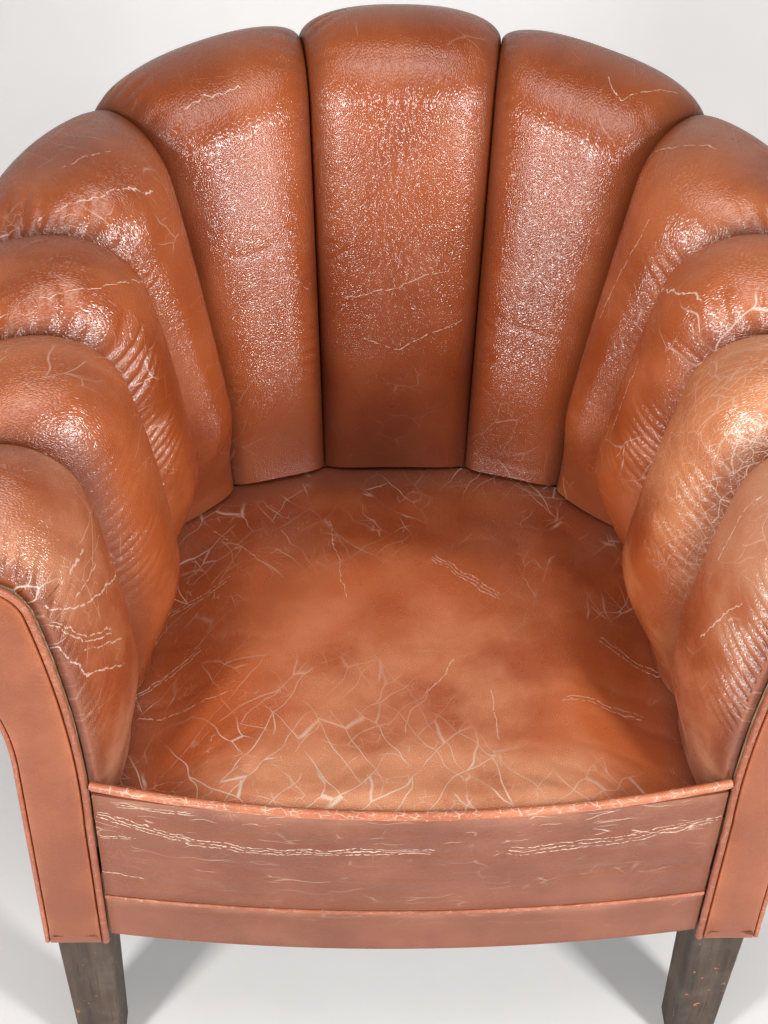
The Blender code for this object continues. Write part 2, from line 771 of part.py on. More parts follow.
def make_webbing(jute):
    """Woven straps under the seat, crossing where the springs stand."""
    half = webbing_width / 2
    end_x = section(4.0).outside + section(4.0).foot.x - webbing_side
    front_y = facing_y - webbing_front
    back_y = section(0).place(section(0).outside - webbing_back, 0).y
    xs = [-end_x]
    for k in (-1, 0, 1):
        xs += [k * webbing_pitch_x - half, k * webbing_pitch_x + half]
    xs.append(end_x)
    ys = [front_y]
    for k in range(3):
        middle = facing_y + webbing_first_y + k * webbing_pitch_y
        ys += [middle - half, middle + half]
    ys.append(back_y)
    top = rail_bottom - seat_gap
    points, index = [], {}
    for level, z in enumerate((top - webbing_thickness, top)):
        for i, x in enumerate(xs):
            for j, y in enumerate(ys):
                index[i, j, level] = len(points)
                points.append(Vector((x, y, z)))

    def filled(i, j):
        inside = 0 <= i < len(xs) - 1 and 0 <= j < len(ys) - 1
        return inside and (i % 2 == 1 or j % 2 == 1)

    faces = []
    for i in range(len(xs) - 1):
        for j in range(len(ys) - 1):
            if not filled(i, j):
                continue
            for level in (0, 1):
                faces.append([index[i, j, level], index[i + 1, j, level],
                              index[i + 1, j + 1, level], index[i, j + 1, level]])
            edges = (((i, j), (i + 1, j), (i, j - 1)), ((i + 1, j), (i + 1, j + 1), (i + 1, j)),
                     ((i + 1, j + 1), (i, j + 1), (i, j + 1)), ((i, j + 1), (i, j), (i - 1, j)))
            for one, other, beyond in edges:
                if not filled(*beyond):
                    faces.append([index[(*one, 0)], index[(*other, 0)],
                                  index[(*other, 1)], index[(*one, 1)]])
    used = sorted({i for face in faces for i in face})
    renumber = {old: new for new, old in enumerate(used)}
    mesh = mesh_from("seat_webbing", [points[i] for i in used],
                     [[renumber[i] for i in face] for face in faces])
    add_object("seat_webbing", mesh, jute)


def make_springs(steel):
    """Hourglass coil springs on the crossings of the webbing."""
    low = rail_bottom - seat_gap + spring_wire + spring_play
    high = rail_top + seat_gap - spring_wire - spring_play
    count = spring_steps * spring_turns
    number = 1
    for row in range(3):
        for column in (-1, 0, 1):
            x = column * webbing_pitch_x
            y = facing_y + webbing_first_y + row * webbing_pitch_y
            path = []
            for k in range(count + 1):
                share = k / count
                turn = 2 * math.pi * spring_turns * share
                radius = blend(spring_waist, spring_radius, (2 * share - 1) ** 2)
                path.append(Vector((x + radius * math.cos(turn), y + radius * math.sin(turn),
                                    blend(low, high, share))))
            cord(f"seat_spring_{number}", path, spring_wire, steel, 0)
            number += 1


def make_hessian(jute):
    """Canvas over the springs, tacked to the tops of the rails."""
    reach = leather_thickness + seat_gap + rail_thickness - canvas_lap
    columns = mirrored([*corner_columns, 2.5, 3.5, 4.5])
    outline = []
    for q in columns:
        place = section(q).place(section(q).outside - reach, 0)
        outline.append((place.x, place.y))
    behind = front_post_center(1)[1] + post_depth / 2 + canvas_play
    side_x = section(4.5).foot.x + section(4.5).outside - reach
    inner_x = front_post_center(1)[0] - post_width / 2 - canvas_play
    outline += [(side_x, behind), (inner_x, behind)]
    outline += [(x, front_surface(x, rail_bow, canvas_front))
                for x in reversed(across_front(inner_x, 6))]
    outline += [(-inner_x, behind), (-side_x, behind)]
    plate("spring_canvas", outline, rail_top + seat_gap, hessian_thickness, jute)


def make_dust_cloth(cloth):
    """Cloth under the seat, cut round the legs."""
    inset = leather_thickness + dust_cloth_side
    columns = mirrored([*corner_columns, 2.5, 3.5, 4.5])
    outline = []
    for q in columns:
        place = section(q).place(section(q).outside - inset, 0)
        outline.append((place.x, place.y))
    side_x = section(4.5).foot.x + section(4.5).outside - inset
    behind = front_post_center(1)[1] + post_depth / 2 + dust_cloth_play
    inner_x = front_post_center(1)[0] - post_width / 2 - dust_cloth_play
    outline += [(side_x, behind), (inner_x, behind)]
    outline += [(x, front_surface(x, rail_bow, dust_cloth_front))
                for x in reversed(across_front(inner_x, 6))]
    outline += [(-inner_x, behind), (-side_x, behind)]
    top = rail_bottom - seat_gap - webbing_thickness - seat_gap
    cloth_sheet = plate("dust_cloth", outline, top - dust_cloth_thickness,
                        dust_cloth_thickness, cloth)
    for side, sign in (("left", -1), ("right", 1)):
        x, y = rear_post_center(sign)
        width = rear_leg_width + leg_opening_play
        rings = [leg_ring((x, y), width, width, z) for z in (0.0, facing_bottom + top)]
        cutter = loft(f"leg_opening_{side}", rings, cloth)
        cutter.hide_render = True
        cutter.display_type = "WIRE"
        opening = cloth_sheet.modifiers.new(f"leg_opening_{side}", "BOOLEAN")
        opening.operation = "DIFFERENCE"
        opening.solver = "EXACT"
        opening.object = cutter


# Arm facings

def facing_path(y, inset, outside_inset=0.0):
    """Outline of the arm front, from the inner bottom over the roll to the outer bottom.

    It stands back from the wall by one inset up to the end of the roll, and then by the other."""
    q = last_seam
    cut = section(q)
    rows = [("lower", 1.0), ("lower", 0.5), ("inner", 0.0), ("inner", 0.35), ("inner", 0.7)]
    rows += [("crest", s / 8) for s in range(9)]
    outside = [("outer", cut.outer_length * s) for s in (0.08, 0.16, 0.24, 0.34, 0.46, 0.7, 1.0)]
    places = [wall_point(q, row, -inset) for row in rows]
    places += [wall_point(q, row, -outside_inset) for row in outside]
    return [Vector((place.x, y, place.z)) for place in places], len(rows)


def make_facings(leather):
    inner_inset = 2 * inner_welt_radius + seat_gap
    outer_inset = 2 * outer_welt_radius + seat_gap
    back_y = facing_y - seat_gap
    front_y = facing_y - seat_gap - facing_thickness
    for side, sign in (("left", -1), ("right", 1)):
        outline, _ = facing_path(0.0, inner_inset, outer_inset)
        outline = [Vector((sign * p.x, 0, p.z)) for p in outline]
        rings = [[Vector((p.x, y, p.z)) for p in outline] for y in (front_y, back_y)]
        loft(f"arm_facing_{side}", rings, leather)
        make_inner_welt(f"double_welt_{side}", sign, back_y - inner_welt_depth, leather)
        path, start = facing_path(back_y - outer_welt_depth, 0.0, outer_welt_radius)
        path = [Vector((sign * p.x, p.y, p.z)) for p in path[start:]]
        cord(f"outer_welt_{side}", path, outer_welt_radius, leather, 0)


def make_inner_welt(name, sign, y, leather):
    """Thick cord along the inner edge of the facing and over its top."""
    r = inner_welt_radius
    turns = [2 * math.pi * k / 8 for k in range(8)]
    paths = [facing_path(y, r * (1 - 0.98 * math.cos(turn)))[0] for turn in turns]
    count = facing_path(y, 0.0)[1]
    rings = []
    for k in range(count):
        rings.append([Vector((sign * path[k].x, y - r * math.sin(turn), path[k].z))
                      for path, turn in zip(paths, turns)])
    loft(name, rings, leather, 60)


def main():
    clear_scene()
    finish = make_materials()
    make_channels(finish["leather"])
    make_lining(finish["jute"])
    make_crest_rails(finish["frame_wood"])
    make_uprights(finish["frame_wood"])
    make_outside(finish["leather"])
    make_rails(finish["frame_wood"])
    make_legs(finish["leg_wood"])
    make_arm_posts(finish["frame_wood"])
    make_tack_rail(finish["frame_wood"])
    make_cushion(finish["leather"])
    make_front(finish["leather"])
    make_webbing(finish["jute"])
    make_springs(finish["spring_steel"])
    make_hessian(finish["jute"])
    make_dust_cloth(finish["dust_cloth"])
    make_facings(finish["leather"])


main()
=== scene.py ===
import json
import math

import bpy
import numpy as np
from mathutils import Matrix, Vector


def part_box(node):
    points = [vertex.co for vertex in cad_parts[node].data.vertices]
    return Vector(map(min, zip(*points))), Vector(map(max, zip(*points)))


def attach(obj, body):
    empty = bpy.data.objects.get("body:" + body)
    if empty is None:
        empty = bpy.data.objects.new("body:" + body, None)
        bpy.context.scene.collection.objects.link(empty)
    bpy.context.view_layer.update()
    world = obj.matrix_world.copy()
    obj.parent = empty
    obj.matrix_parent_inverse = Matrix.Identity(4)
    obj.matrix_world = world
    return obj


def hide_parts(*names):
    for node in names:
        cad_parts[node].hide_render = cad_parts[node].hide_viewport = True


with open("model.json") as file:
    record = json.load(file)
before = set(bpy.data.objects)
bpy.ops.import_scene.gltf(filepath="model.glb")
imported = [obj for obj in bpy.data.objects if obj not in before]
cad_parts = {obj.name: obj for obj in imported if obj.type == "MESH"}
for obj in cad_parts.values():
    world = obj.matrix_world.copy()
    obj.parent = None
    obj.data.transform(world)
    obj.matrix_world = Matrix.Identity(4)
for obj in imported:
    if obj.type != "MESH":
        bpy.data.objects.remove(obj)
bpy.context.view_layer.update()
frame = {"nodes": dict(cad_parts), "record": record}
print("frame loaded:", len(frame["nodes"]), "CAD nodes")

seatGap = 0.0005
leatherThickness = 0.0025
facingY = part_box("arm_facing_left")[1].y + seatGap   # plane of the arm fronts


# Small helpers

def mix(a, b, share):
    return a + (b - a) * share


def ease(share):
    share = np.clip(share, 0.0, 1.0)
    return share * share * (3 - 2 * share)


def softNoise(x, y, seed):
    # smooth noise from -1 to 1 that changes over about one unit
    lattice = np.random.default_rng(seed).uniform(-1, 1, (64, 64))
    x, y = np.broadcast_arrays(x, y)
    column, row = np.floor(x).astype(int), np.floor(y).astype(int)
    fx, fy = ease(x - column), ease(y - row)
    low = mix(lattice[column % 64, row % 64], lattice[(column + 1) % 64, row % 64], fx)
    high = mix(lattice[column % 64, (row + 1) % 64], lattice[(column + 1) % 64, (row + 1) % 64], fx)
    return mix(low, high, fy)


def foldNoise(x, y, seed):
    # narrow grooves with broad soft ridges between them, 0 to 1
    return np.clip(1 - 2.2 * np.abs(softNoise(x, y, seed)), 0, 1) ** 2


def runLengths(points, axis):
    step = np.linalg.norm(np.diff(points, axis=axis), axis=-1)
    start = np.zeros_like(np.take(step, [0], axis=axis))
    return np.concatenate([start, np.cumsum(step, axis=axis)], axis=axis)


# The padded wall, with the sizes of the CAD model

tubWall = {
    "facingBottom": 0.205,
    "wallFoot": 0.375,
    "backHeight": 0.768,
    "armHeight": 0.664,
    "heightFall": 0.78,
    "leftDrop": 0.004,                # the left arm has sunk a little
    "footLine": {"halfWidth": 0.262, "bendDepth": 0.205, "back": 0.475, "squareness": 2.4, "flare": 0.007},
    "crestLine": {"halfWidth": 0.338, "bendDepth": 0.300, "back": 0.633, "squareness": 2.2, "flare": -0.003},
    "footWidths": (0.150, 0.105, 0.107, 0.111, 0.120, 0.130),
    "crestWidths": (0.196, 0.197, 0.200, 0.125, 0.115, 0.120),
    "roll": (0.048, 0.045),           # back, arms
    "overhang": (0.066, 0.052),
    "flareEnd": (0.300, 0.450),
    "faceBow": (math.radians(2), math.radians(7)),
    "rollEnd": (math.radians(-8), math.radians(-28)),
    "channelEnd": 0.036,
    "rimWelt": 0.003,
    "rimWeltGap": 0.0023,
    "panelLap": 0.0009,               # from the rim welt to the outside covers
    "fallSpread": 0.42,               # how softly the outside falls from the roll
}
lastSeam = len(tubWall["footWidths"]) - 0.5


def tracePlan(line):
    turn = np.linspace(0.0, math.pi / 2, 400)
    x = line["halfWidth"] * np.sin(turn) ** (2 / line["squareness"])
    y = line["back"] - line["bendDepth"] * (1 - np.cos(turn) ** (2 / line["squareness"]))
    x, y = np.append(x, line["halfWidth"] + line["flare"]), np.append(y, 0.0)
    run = np.concatenate([[0.0], np.cumsum(np.hypot(np.diff(x), np.diff(y)))])
    return run, x, y


planLines = {name: tracePlan(tubWall[name]) for name in ("footLine", "crestLine")}


def planPoint(name, widths, q):
    run, x, y = planLines[name]
    edges = np.concatenate([[0.0], widths[0] / 2 + np.cumsum([0.0, *widths[1:]])])
    at = np.interp(abs(q), np.concatenate([[0.0], 0.5 + np.arange(len(widths))]), edges * run[-1] / edges[-1])
    return np.array([math.copysign(np.interp(at, run, x), q), np.interp(at, run, y)])


def bezier(t, a, b, c, d):
    return (1 - t) ** 3 * a + 3 * (1 - t) ** 2 * t * b + 3 * (1 - t) * t ** 2 * c + t ** 3 * d


def wallRows(q, rows):
    # rows 0 to 1 climb the inner face, 1 to 2 go over the roll,
    # 2 to 3 down to the channels' ends, 3 to 4 down the outside
    wall = tubWall
    foot = planPoint("footLine", wall["footWidths"], q)
    out = planPoint("crestLine", wall["crestWidths"], q) - foot
    depth = np.linalg.norm(out)
    out = out / depth
    along = np.clip((abs(q) - 0.5) / (lastSeam - 0.5), 0, 1)
    corner = ease((abs(q) - 1.0) / 1.5)
    shape = (mix(*wall[key], corner) for key in ("roll", "overhang", "flareEnd", "faceBow", "rollEnd"))
    roll, overhang, flareEnd, bow, end = shape
    centerZ = mix(wall["backHeight"], wall["armHeight"], along ** wall["heightFall"]) - roll
    centerZ -= wall["leftDrop"] * ease((-q - 1.2) / 1.3)
    rise = centerZ - wall["wallFoot"]
    lean = math.atan2(rise, depth) + math.asin(roll / math.hypot(rise, depth))
    start = lean - bow + math.pi / 2
    base = np.array([0.0, wall["wallFoot"]])
    head = np.array([depth + roll * math.cos(start), centerZ + roll * math.sin(start)])
    reach = np.linalg.norm(head - base) / 3
    leave = base + reach * np.array([math.cos(lean + bow), math.sin(lean + bow)])
    arrive = head - reach * np.array([math.sin(start), -math.cos(start)])
    first = np.array([depth + roll * math.cos(end), centerZ + roll * math.sin(end)])
    outside = depth + roll - overhang
    last = np.array([outside, flareEnd])
    spread = wall["fallSpread"] * np.linalg.norm(last - first)
    leaveRoll = first + spread * np.array([math.sin(end), -math.cos(end)])
    reachFlare = last + np.array([0.0, spread])
    fall = bezier(np.linspace(0, 1, 60)[:, None], first, leaveRoll, reachFlare, last)
    fall = np.vstack([fall, [outside, wall["facingBottom"]]])
    fallRun = np.concatenate([[0.0], np.cumsum(np.hypot(*np.diff(fall, axis=0).T))])
    panelTop = wall["channelEnd"] + 2 * wall["rimWelt"] + wall["rimWeltGap"] + wall["panelLap"]

    def trace(row):
        if row <= 1:
            return bezier(row, base, leave, arrive, head)
        if row <= 2:
            turn = mix(start, end, row - 1)
            return np.array([depth + roll * math.cos(turn), centerZ + roll * math.sin(turn)])
        distance = wall["channelEnd"] * (row - 2) if row <= 3 else mix(panelTop, fallRun[-1], row - 3)
        return np.array([np.interp(distance, fallRun, fall[:, 0]), np.interp(distance, fallRun, fall[:, 1])])

    step = 1e-3
    cut = np.array([trace(r) for r in rows])
    ahead = np.array([trace(min(4.0, r + step)) - trace(max(0.0, r - step)) for r in rows])
    ahead /= np.linalg.norm(ahead, axis=1, keepdims=True)
    flat = foot + out * cut[:, :1]
    points = np.column_stack([flat[:, 0], flat[:, 1] + facingY, cut[:, 1]])
    normals = np.column_stack([out * -ahead[:, 1:], ahead[:, 0]])
    return points, normals


def wallGrid(columns, rows):
    made = [wallRows(q, rows) for q in columns]
    return np.stack([m[0] for m in made], 1), np.stack([m[1] for m in made], 1)


# Meshes

def putInScene(name, data):
    thing = bpy.data.objects.new(name, data)
    bpy.context.scene.collection.objects.link(thing)
    return thing


def addPiece(name, points, faces, place, marks, material, nodes, smoothAngle=60):
    mesh = bpy.data.meshes.new(name)
    mesh.from_pydata(points.tolist(), [], faces)
    corner = np.empty(len(mesh.loops), int)
    mesh.loops.foreach_get("vertex_index", corner)
    mesh.uv_layers.new(name="leatherPlace").data.foreach_set("uv", place[corner].astype(np.float32).ravel())
    for title, values in marks.items():
        mesh.attributes.new(title, "FLOAT", "POINT").data.foreach_set("value", values.astype(np.float32))
    mesh.shade_smooth()
    mesh.set_sharp_from_angle(angle=math.radians(smoothAngle))
    mesh.materials.append(material)
    piece = putInScene(name, mesh)
    if mesh.validate():
        print("mended mesh of", name)
    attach(piece, "root")
    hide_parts(*nodes)
    return piece


def gridFaces(rows, columns, start=0, turned=False):
    faces = []
    for r in range(rows - 1):
        for c in range(columns - 1):
            a = start + r * columns + c
            b = a + columns
            faces.append((a, b, b + 1, a + 1) if turned else (a, a + 1, b + 1, b))
    return faces


def closedPanel(name, front, back, place, marks, material):
    # solid between a fine front grid and a coarse back grid with equal rows
    rows, wide, narrow = front.shape[0], front.shape[1], back.shape[1]
    start = rows * wide
    faces = gridFaces(rows, wide) + gridFaces(rows, narrow, start, turned=True)
    for r in range(rows - 1):
        left, right = r * wide, r * wide + wide - 1
        backLeft, backRight = start + r * narrow, start + r * narrow + narrow - 1
        faces.append((left, left + wide, backLeft + narrow, backLeft))
        faces.append((right + wide, right, backRight, backRight + narrow))
    faces.append((*range(wide - 1, -1, -1), *range(start, start + narrow)))
    lastRow, lastBack = (rows - 1) * wide, start + (rows - 1) * narrow
    faces.append((*range(lastRow, lastRow + wide), *range(lastBack + narrow - 1, lastBack - 1, -1)))
    columns = np.round(np.linspace(0, wide - 1, narrow)).astype(int)
    backPlace = place.reshape(rows, wide, 2)[:, columns].reshape(-1, 2)
    allPlace = np.concatenate([place.reshape(-1, 2), backPlace])
    allMarks = {}
    for key, value in marks.items():
        allMarks[key] = np.concatenate([value.ravel(), value[:, columns].ravel()])
    points = np.concatenate([front.reshape(-1, 3), back.reshape(-1, 3)])
    return addPiece(name, points, faces, allPlace, allMarks, material, [name])


def tubeRings(path, radius, sides, across, flatten=1.0):
    # rings round a path; across is the direction in which flatten presses the tube
    tangent = np.gradient(path, axis=0)
    tangent /= np.linalg.norm(tangent, axis=1, keepdims=True)
    first = np.cross(tangent, across)
    first /= np.linalg.norm(first, axis=1, keepdims=True)
    second = np.cross(tangent, first)
    turn = np.linspace(0, 2 * math.pi, sides, endpoint=False)
    wide, high = np.cos(turn), np.sin(turn) * flatten
    ring = first[:, None] * wide[None, :, None] + second[:, None] * high[None, :, None]
    return path[:, None] + ring * np.reshape(radius, (-1, 1, 1))


def tubeFaces(rings, sides, start=0):
    faces = []
    for r in range(rings - 1):
        for c in range(sides):
            a, b = start + r * sides + c, start + r * sides + (c + 1) % sides
            faces.append((a, b, b + sides, a + sides))
    faces.append(tuple(range(start + sides - 1, start - 1, -1)))
    faces.append(tuple(range(start + (rings - 1) * sides, start + rings * sides)))
    return faces


def addWelt(name, tubes, **marks):
    points, faces, places, start = [], [], [], 0
    for k, rings in enumerate(tubes):
        count, sides = rings.shape[:2]
        faces += tubeFaces(count, sides, start)
        start += count * sides
        points.append(rings.reshape(-1, 3))
        along = runLengths(rings.mean(1), 0)
        around = np.abs(np.linspace(-1, 1, sides, endpoint=False)) * 0.01 + 0.03 * k
        places.append(np.stack(np.broadcast_arrays(around[None, :], along[:, None]), -1).reshape(-1, 2))
    points, places = np.concatenate(points), np.concatenate(places)
    allMarks = {key: np.full(start, value) for key, value in marks.items()}
    addPiece(name, points, faces, places, allMarks, weltMaterial, [name], smoothAngle=70)


# Shader helpers

def setInput(tree, socket, value):
    if isinstance(value, bpy.types.NodeSocket):
        tree.links.new(value, socket)
    else:
        socket.default_value = value


def addNode(tree, kind, values=None, **settings):
    node = tree.nodes.new(kind)
    for key, value in settings.items():
        setattr(node, key, value)
    for key, value in (values or {}).items():
        setInput(tree, node.inputs[key], value)
    return node


def calc(tree, operation, *values):
    node = addNode(tree, "ShaderNodeMath", operation=operation)
    for socket, value in zip(node.inputs, values):
        setInput(tree, socket, value)
    return node.outputs[0]


def times(tree, a, b):
    return calc(tree, "MULTIPLY", a, b)


def vectorCalc(tree, operation, a, b, output="Vector"):
    node = addNode(tree, "ShaderNodeVectorMath", operation=operation)
    setInput(tree, node.inputs[0], a)
    setInput(tree, node.inputs["Scale"] if operation == "SCALE" else node.inputs[1], b)
    return node.outputs[output]


def fade(tree, value, low, high, start=0.0, end=1.0):
    values = {"Value": value, "From Min": low, "From Max": high, "To Min": start, "To Max": end}
    return addNode(tree, "ShaderNodeMapRange", values, interpolation_type="SMOOTHSTEP").outputs["Result"]


def mixColor(tree, share, a, b, blend="MIX"):
    node = addNode(tree, "ShaderNodeMix", data_type="RGBA", blend_type=blend)
    for socket, value in zip((node.inputs[0], node.inputs[6], node.inputs[7]), (share, a, b)):
        setInput(tree, socket, (*value, 1.0) if isinstance(value, tuple) and len(value) == 3 else value)
    return node.outputs[2]


def noise(tree, place, scale, detail=2.0, roughness=0.5, output="Fac", flat=True):
    values = {"Vector": place, "Scale": scale, "Detail": detail, "Roughness": roughness}
    dimensions = "2D" if flat else "3D"
    return addNode(tree, "ShaderNodeTexNoise", values, noise_dimensions=dimensions).outputs[output]


def cellEdges(tree, place, scale):
    node = addNode(tree, "ShaderNodeTexVoronoi", {"Vector": place, "Scale": scale},
                   feature="DISTANCE_TO_EDGE", voronoi_dimensions="2D")
    return node.outputs["Distance"]


def centeredNoise(tree, place, scale, detail, roughness=0.5):
    shake = noise(tree, place, scale, detail, roughness, output="Color")
    return vectorCalc(tree, "SUBTRACT", shake, (0.5, 0.5, 0.5))


def objectPlace(tree):
    return addNode(tree, "ShaderNodeTexCoord").outputs["Object"]


def newMaterial(name):
    material = bpy.data.materials.new(name)
    material.use_nodes = True
    return material, material.node_tree, material.node_tree.nodes["Principled BSDF"]


def addBump(tree, shader, height, distance=1.0):
    bump = addNode(tree, "ShaderNodeBump", {"Height": height, "Distance": distance, "Strength": 1.0})
    tree.links.new(bump.outputs["Normal"], shader.inputs["Normal"])


def newGroup(name, inputs, outputs):
    tree = bpy.data.node_groups.new(name, "ShaderNodeTree")
    for title, kind, value in inputs:
        socket = tree.interface.new_socket(name=title, in_out="INPUT", socket_type="NodeSocket" + kind)
        if value is not None:
            socket.default_value = value
    for title, kind in outputs:
        tree.interface.new_socket(name=title, in_out="OUTPUT", socket_type="NodeSocket" + kind)
    return tree, tree.nodes.new("NodeGroupInput").outputs, tree.nodes.new("NodeGroupOutput").inputs


def placeGroup(tree, group, values):
    node = tree.nodes.new("ShaderNodeGroup")
    node.node_tree = group
    for key, value in values.items():
        setInput(tree, node.inputs[key], value)
    return node.outputs


# Shared effects

def makeLeatherGrain():
    tree, given, result = newGroup("leatherGrain", [("Place", "Vector", None), ("Cell", "Float", 0.0016)],
                                   [("Height", "Float"), ("Pores", "Float")])
    scale = calc(tree, "DIVIDE", 1.0, given["Cell"])
    shake = noise(tree, given["Place"], times(tree, scale, 0.35), 1.0, output="Color")
    shift = vectorCalc(tree, "SCALE", shake, times(tree, given["Cell"], 1.6))
    place = vectorCalc(tree, "ADD", given["Place"], shift)
    pebble = fade(tree, cellEdges(tree, place, scale), 0.0, 0.42)
    setInput(tree, result["Height"], pebble)
    setInput(tree, result["Pores"], calc(tree, "SUBTRACT", 1.0, pebble))
    return tree


def makeCreaseNet():
    # a crackle of fine lines: cells drawn long by Stretch, bent by noise and broken up
    inputs = [("Place", "Vector", None), ("Scale", "Float", 60.0), ("Stretch", "Vector", (1.0, 1.0, 1.0)),
              ("Turn", "Float", 0.0), ("Width", "Float", 0.03), ("Breaks", "Float", 0.5),
              ("Amount", "Float", 1.0)]
    tree, given, result = newGroup("creaseNet", inputs, [("Lines", "Float")])
    turned = addNode(tree, "ShaderNodeVectorRotate", {"Vector": given["Place"], "Angle": given["Turn"]},
                     rotation_type="Z_AXIS").outputs[0]
    shake = centeredNoise(tree, given["Place"], times(tree, given["Scale"], 0.6), 1.0)
    bend = vectorCalc(tree, "SCALE", shake, calc(tree, "DIVIDE", 0.7, given["Scale"]))
    place = vectorCalc(tree, "MULTIPLY", vectorCalc(tree, "ADD", turned, bend), given["Stretch"])
    lines = fade(tree, cellEdges(tree, place, given["Scale"]), 0.0, given["Width"], 1.0, 0.0)
    apart = vectorCalc(tree, "ADD", given["Place"], (3.1, 1.7, 0.4))
    broken = noise(tree, apart, times(tree, given["Scale"], 0.36), 3.0)
    shown = fade(tree, broken, given["Breaks"], calc(tree, "ADD", given["Breaks"], 0.12))
    shown = times(tree, shown, given["Amount"])
    setInput(tree, result["Lines"], times(tree, lines, shown))
    return tree


def makeWoodGrain():
    tree, given, result = newGroup("woodGrain", [("Place", "Vector", None), ("Scale", "Float", 60.0)],
                                   [("Streaks", "Float"), ("Pores", "Float")])
    long = vectorCalc(tree, "MULTIPLY", given["Place"], (1.0, 1.0, 0.06))
    setInput(tree, result["Streaks"], noise(tree, long, given["Scale"], 6.0, 0.65, flat=False))
    fine = noise(tree, long, times(tree, given["Scale"], 7.0), 3.0, 0.6, flat=False)
    setInput(tree, result["Pores"], fade(tree, fine, 0.56, 0.68))
    return tree


def makeCoarseWeave():
    tree, given, result = newGroup("coarseWeave", [("Place", "Vector", None), ("Threads", "Float", 700.0)],
                                   [("Height", "Float"), ("Fray", "Float")])
    place = addNode(tree, "ShaderNodeSeparateXYZ", {"Vector": given["Place"]})
    across = calc(tree, "SINE", times(tree, place.outputs["X"], given["Threads"]))
    along = calc(tree, "SINE", times(tree, place.outputs["Y"], given["Threads"]))
    crossed = times(tree, across, along)
    setInput(tree, result["Height"], calc(tree, "MULTIPLY_ADD", crossed, 0.5, 0.5))
    setInput(tree, result["Fray"], noise(tree, given["Place"], 90.0, 4.0, 0.6, flat=False))
    return tree


leatherGrain = makeLeatherGrain()
creaseNet = makeCreaseNet()
woodGrain = makeWoodGrain()
coarseWeave = makeCoarseWeave()


# Leather

leatherTones = {
    "deep": (0.32, 0.062, 0.014),
    "body": (0.43, 0.098, 0.025),
    "light": (0.54, 0.150, 0.045),
    "worn": (0.70, 0.225, 0.090),
    # dirtAndShade: dark tone for dirt and for painted shade in seams, crevices and low hollows
    "dirtAndShade": (0.11, 0.024, 0.008),
    "pale": (0.82, 0.62, 0.48),
    "crack": (0.075, 0.020, 0.010),
}
leatherFinish = {
    "cell": 0.0021,                   # one pebble of the grain
    "grainDepth": 0.00017,
    "rippleDepth": 0.00009,
    "creaseBend": 0.012,              # how far a laid crease strays from its line
    "roughness": 0.30,
    "shine": 1.0,
}


def makeLeather(name, look):
    look = {**leatherTones, **leatherFinish, **look}
    material, tree, shader = newMaterial(name)
    flat = addNode(tree, "ShaderNodeUVMap", uv_map="leatherPlace").outputs["UV"]
    place = vectorCalc(tree, "ADD", flat, (look["seed"] * 1.37, look["seed"] * 0.71, look["seed"] * 0.37))
    rubbed, creased, soiled = (addNode(tree, "ShaderNodeAttribute", attribute_name=title).outputs["Fac"]
                               for title in ("rubbed", "creased", "soiled"))

    drift = noise(tree, place, 5.0, 2.0, 0.5)
    mottle = noise(tree, place, 14.0, 4.0, 0.6)
    color = mixColor(tree, fade(tree, drift, 0.36, 0.62), look["deep"], look["body"])
    lit = times(tree, fade(tree, mottle, 0.42, 0.70), look["tan"])
    color = mixColor(tree, lit, color, look["light"])
    worn = fade(tree, calc(tree, "MULTIPLY_ADD", rubbed, 0.35, mottle), 0.30, 1.0)
    color = mixColor(tree, times(tree, rubbed, worn), color, look["worn"])
    # darken towards dirtAndShade by the soiled mask: dirt, and painted shade where the masks put it
    color = mixColor(tree, times(tree, soiled, 0.85), color, look["dirtAndShade"])

    grain = placeGroup(tree, leatherGrain, {"Place": place, "Cell": look["cell"]})
    lines = 0.0
    for scale, stretch, turn, width, breaks, amount in look["nets"]:
        apart = vectorCalc(tree, "ADD", place, (scale * 0.01, turn, 0.0))
        shown = times(tree, creased, amount)
        values = {"Place": apart, "Scale": scale, "Stretch": (*stretch, 1.0), "Turn": turn,
                  "Width": width, "Breaks": breaks, "Amount": shown}
        lines = calc(tree, "MAXIMUM", placeGroup(tree, creaseNet, values)["Lines"], lines)
    if "laid" in look:
        shake = centeredNoise(tree, flat, 38.0, 4.0, 0.62)
        bend = (look["creaseBend"], look["creaseBend"], 0.0)
        bent = vectorCalc(tree, "ADD", flat, vectorCalc(tree, "MULTIPLY", shake, bend))
        broken = fade(tree, noise(tree, place, 210.0, 2.0), 0.34, 0.50)
        for crease in look["laid"]:
            line = times(tree, layCrease(tree, bent, crease), broken)
            lines = calc(tree, "MAXIMUM", lines, line)
        for crease in look.get("cracks", ()):
            color = mixColor(tree, layCrease(tree, bent, crease), color, look["crack"])
    color = mixColor(tree, times(tree, grain["Pores"], 0.22), color, leatherTones["deep"])
    color = mixColor(tree, calc(tree, "MINIMUM", lines, 0.9), color, look["pale"])
    tree.links.new(color, shader.inputs["Base Color"])

    gloss = calc(tree, "MULTIPLY_ADD", fade(tree, mottle, 0.3, 0.75), 0.06, look["roughness"])
    gloss = calc(tree, "MULTIPLY_ADD", lines, 0.20, gloss)
    gloss = calc(tree, "MULTIPLY_ADD", soiled, 0.20, gloss)
    tree.links.new(gloss, shader.inputs["Roughness"])
    height = times(tree, grain["Height"], look["grainDepth"])
    height = calc(tree, "MULTIPLY_ADD", noise(tree, place, 110.0, 1.0), look["rippleDepth"], height)
    addBump(tree, shader, height)
    shader.inputs["Specular IOR Level"].default_value = look["shine"]
    return material


def chain(width, *points):
    return [(start, end, width) for start, end in zip(points, points[1:])]


def bundle(width, spread, count, *points):
    made = []
    for k in range(count):
        made += chain(width, *[(x + 0.35 * k * spread, y + k * spread) for x, y in points])
    return made


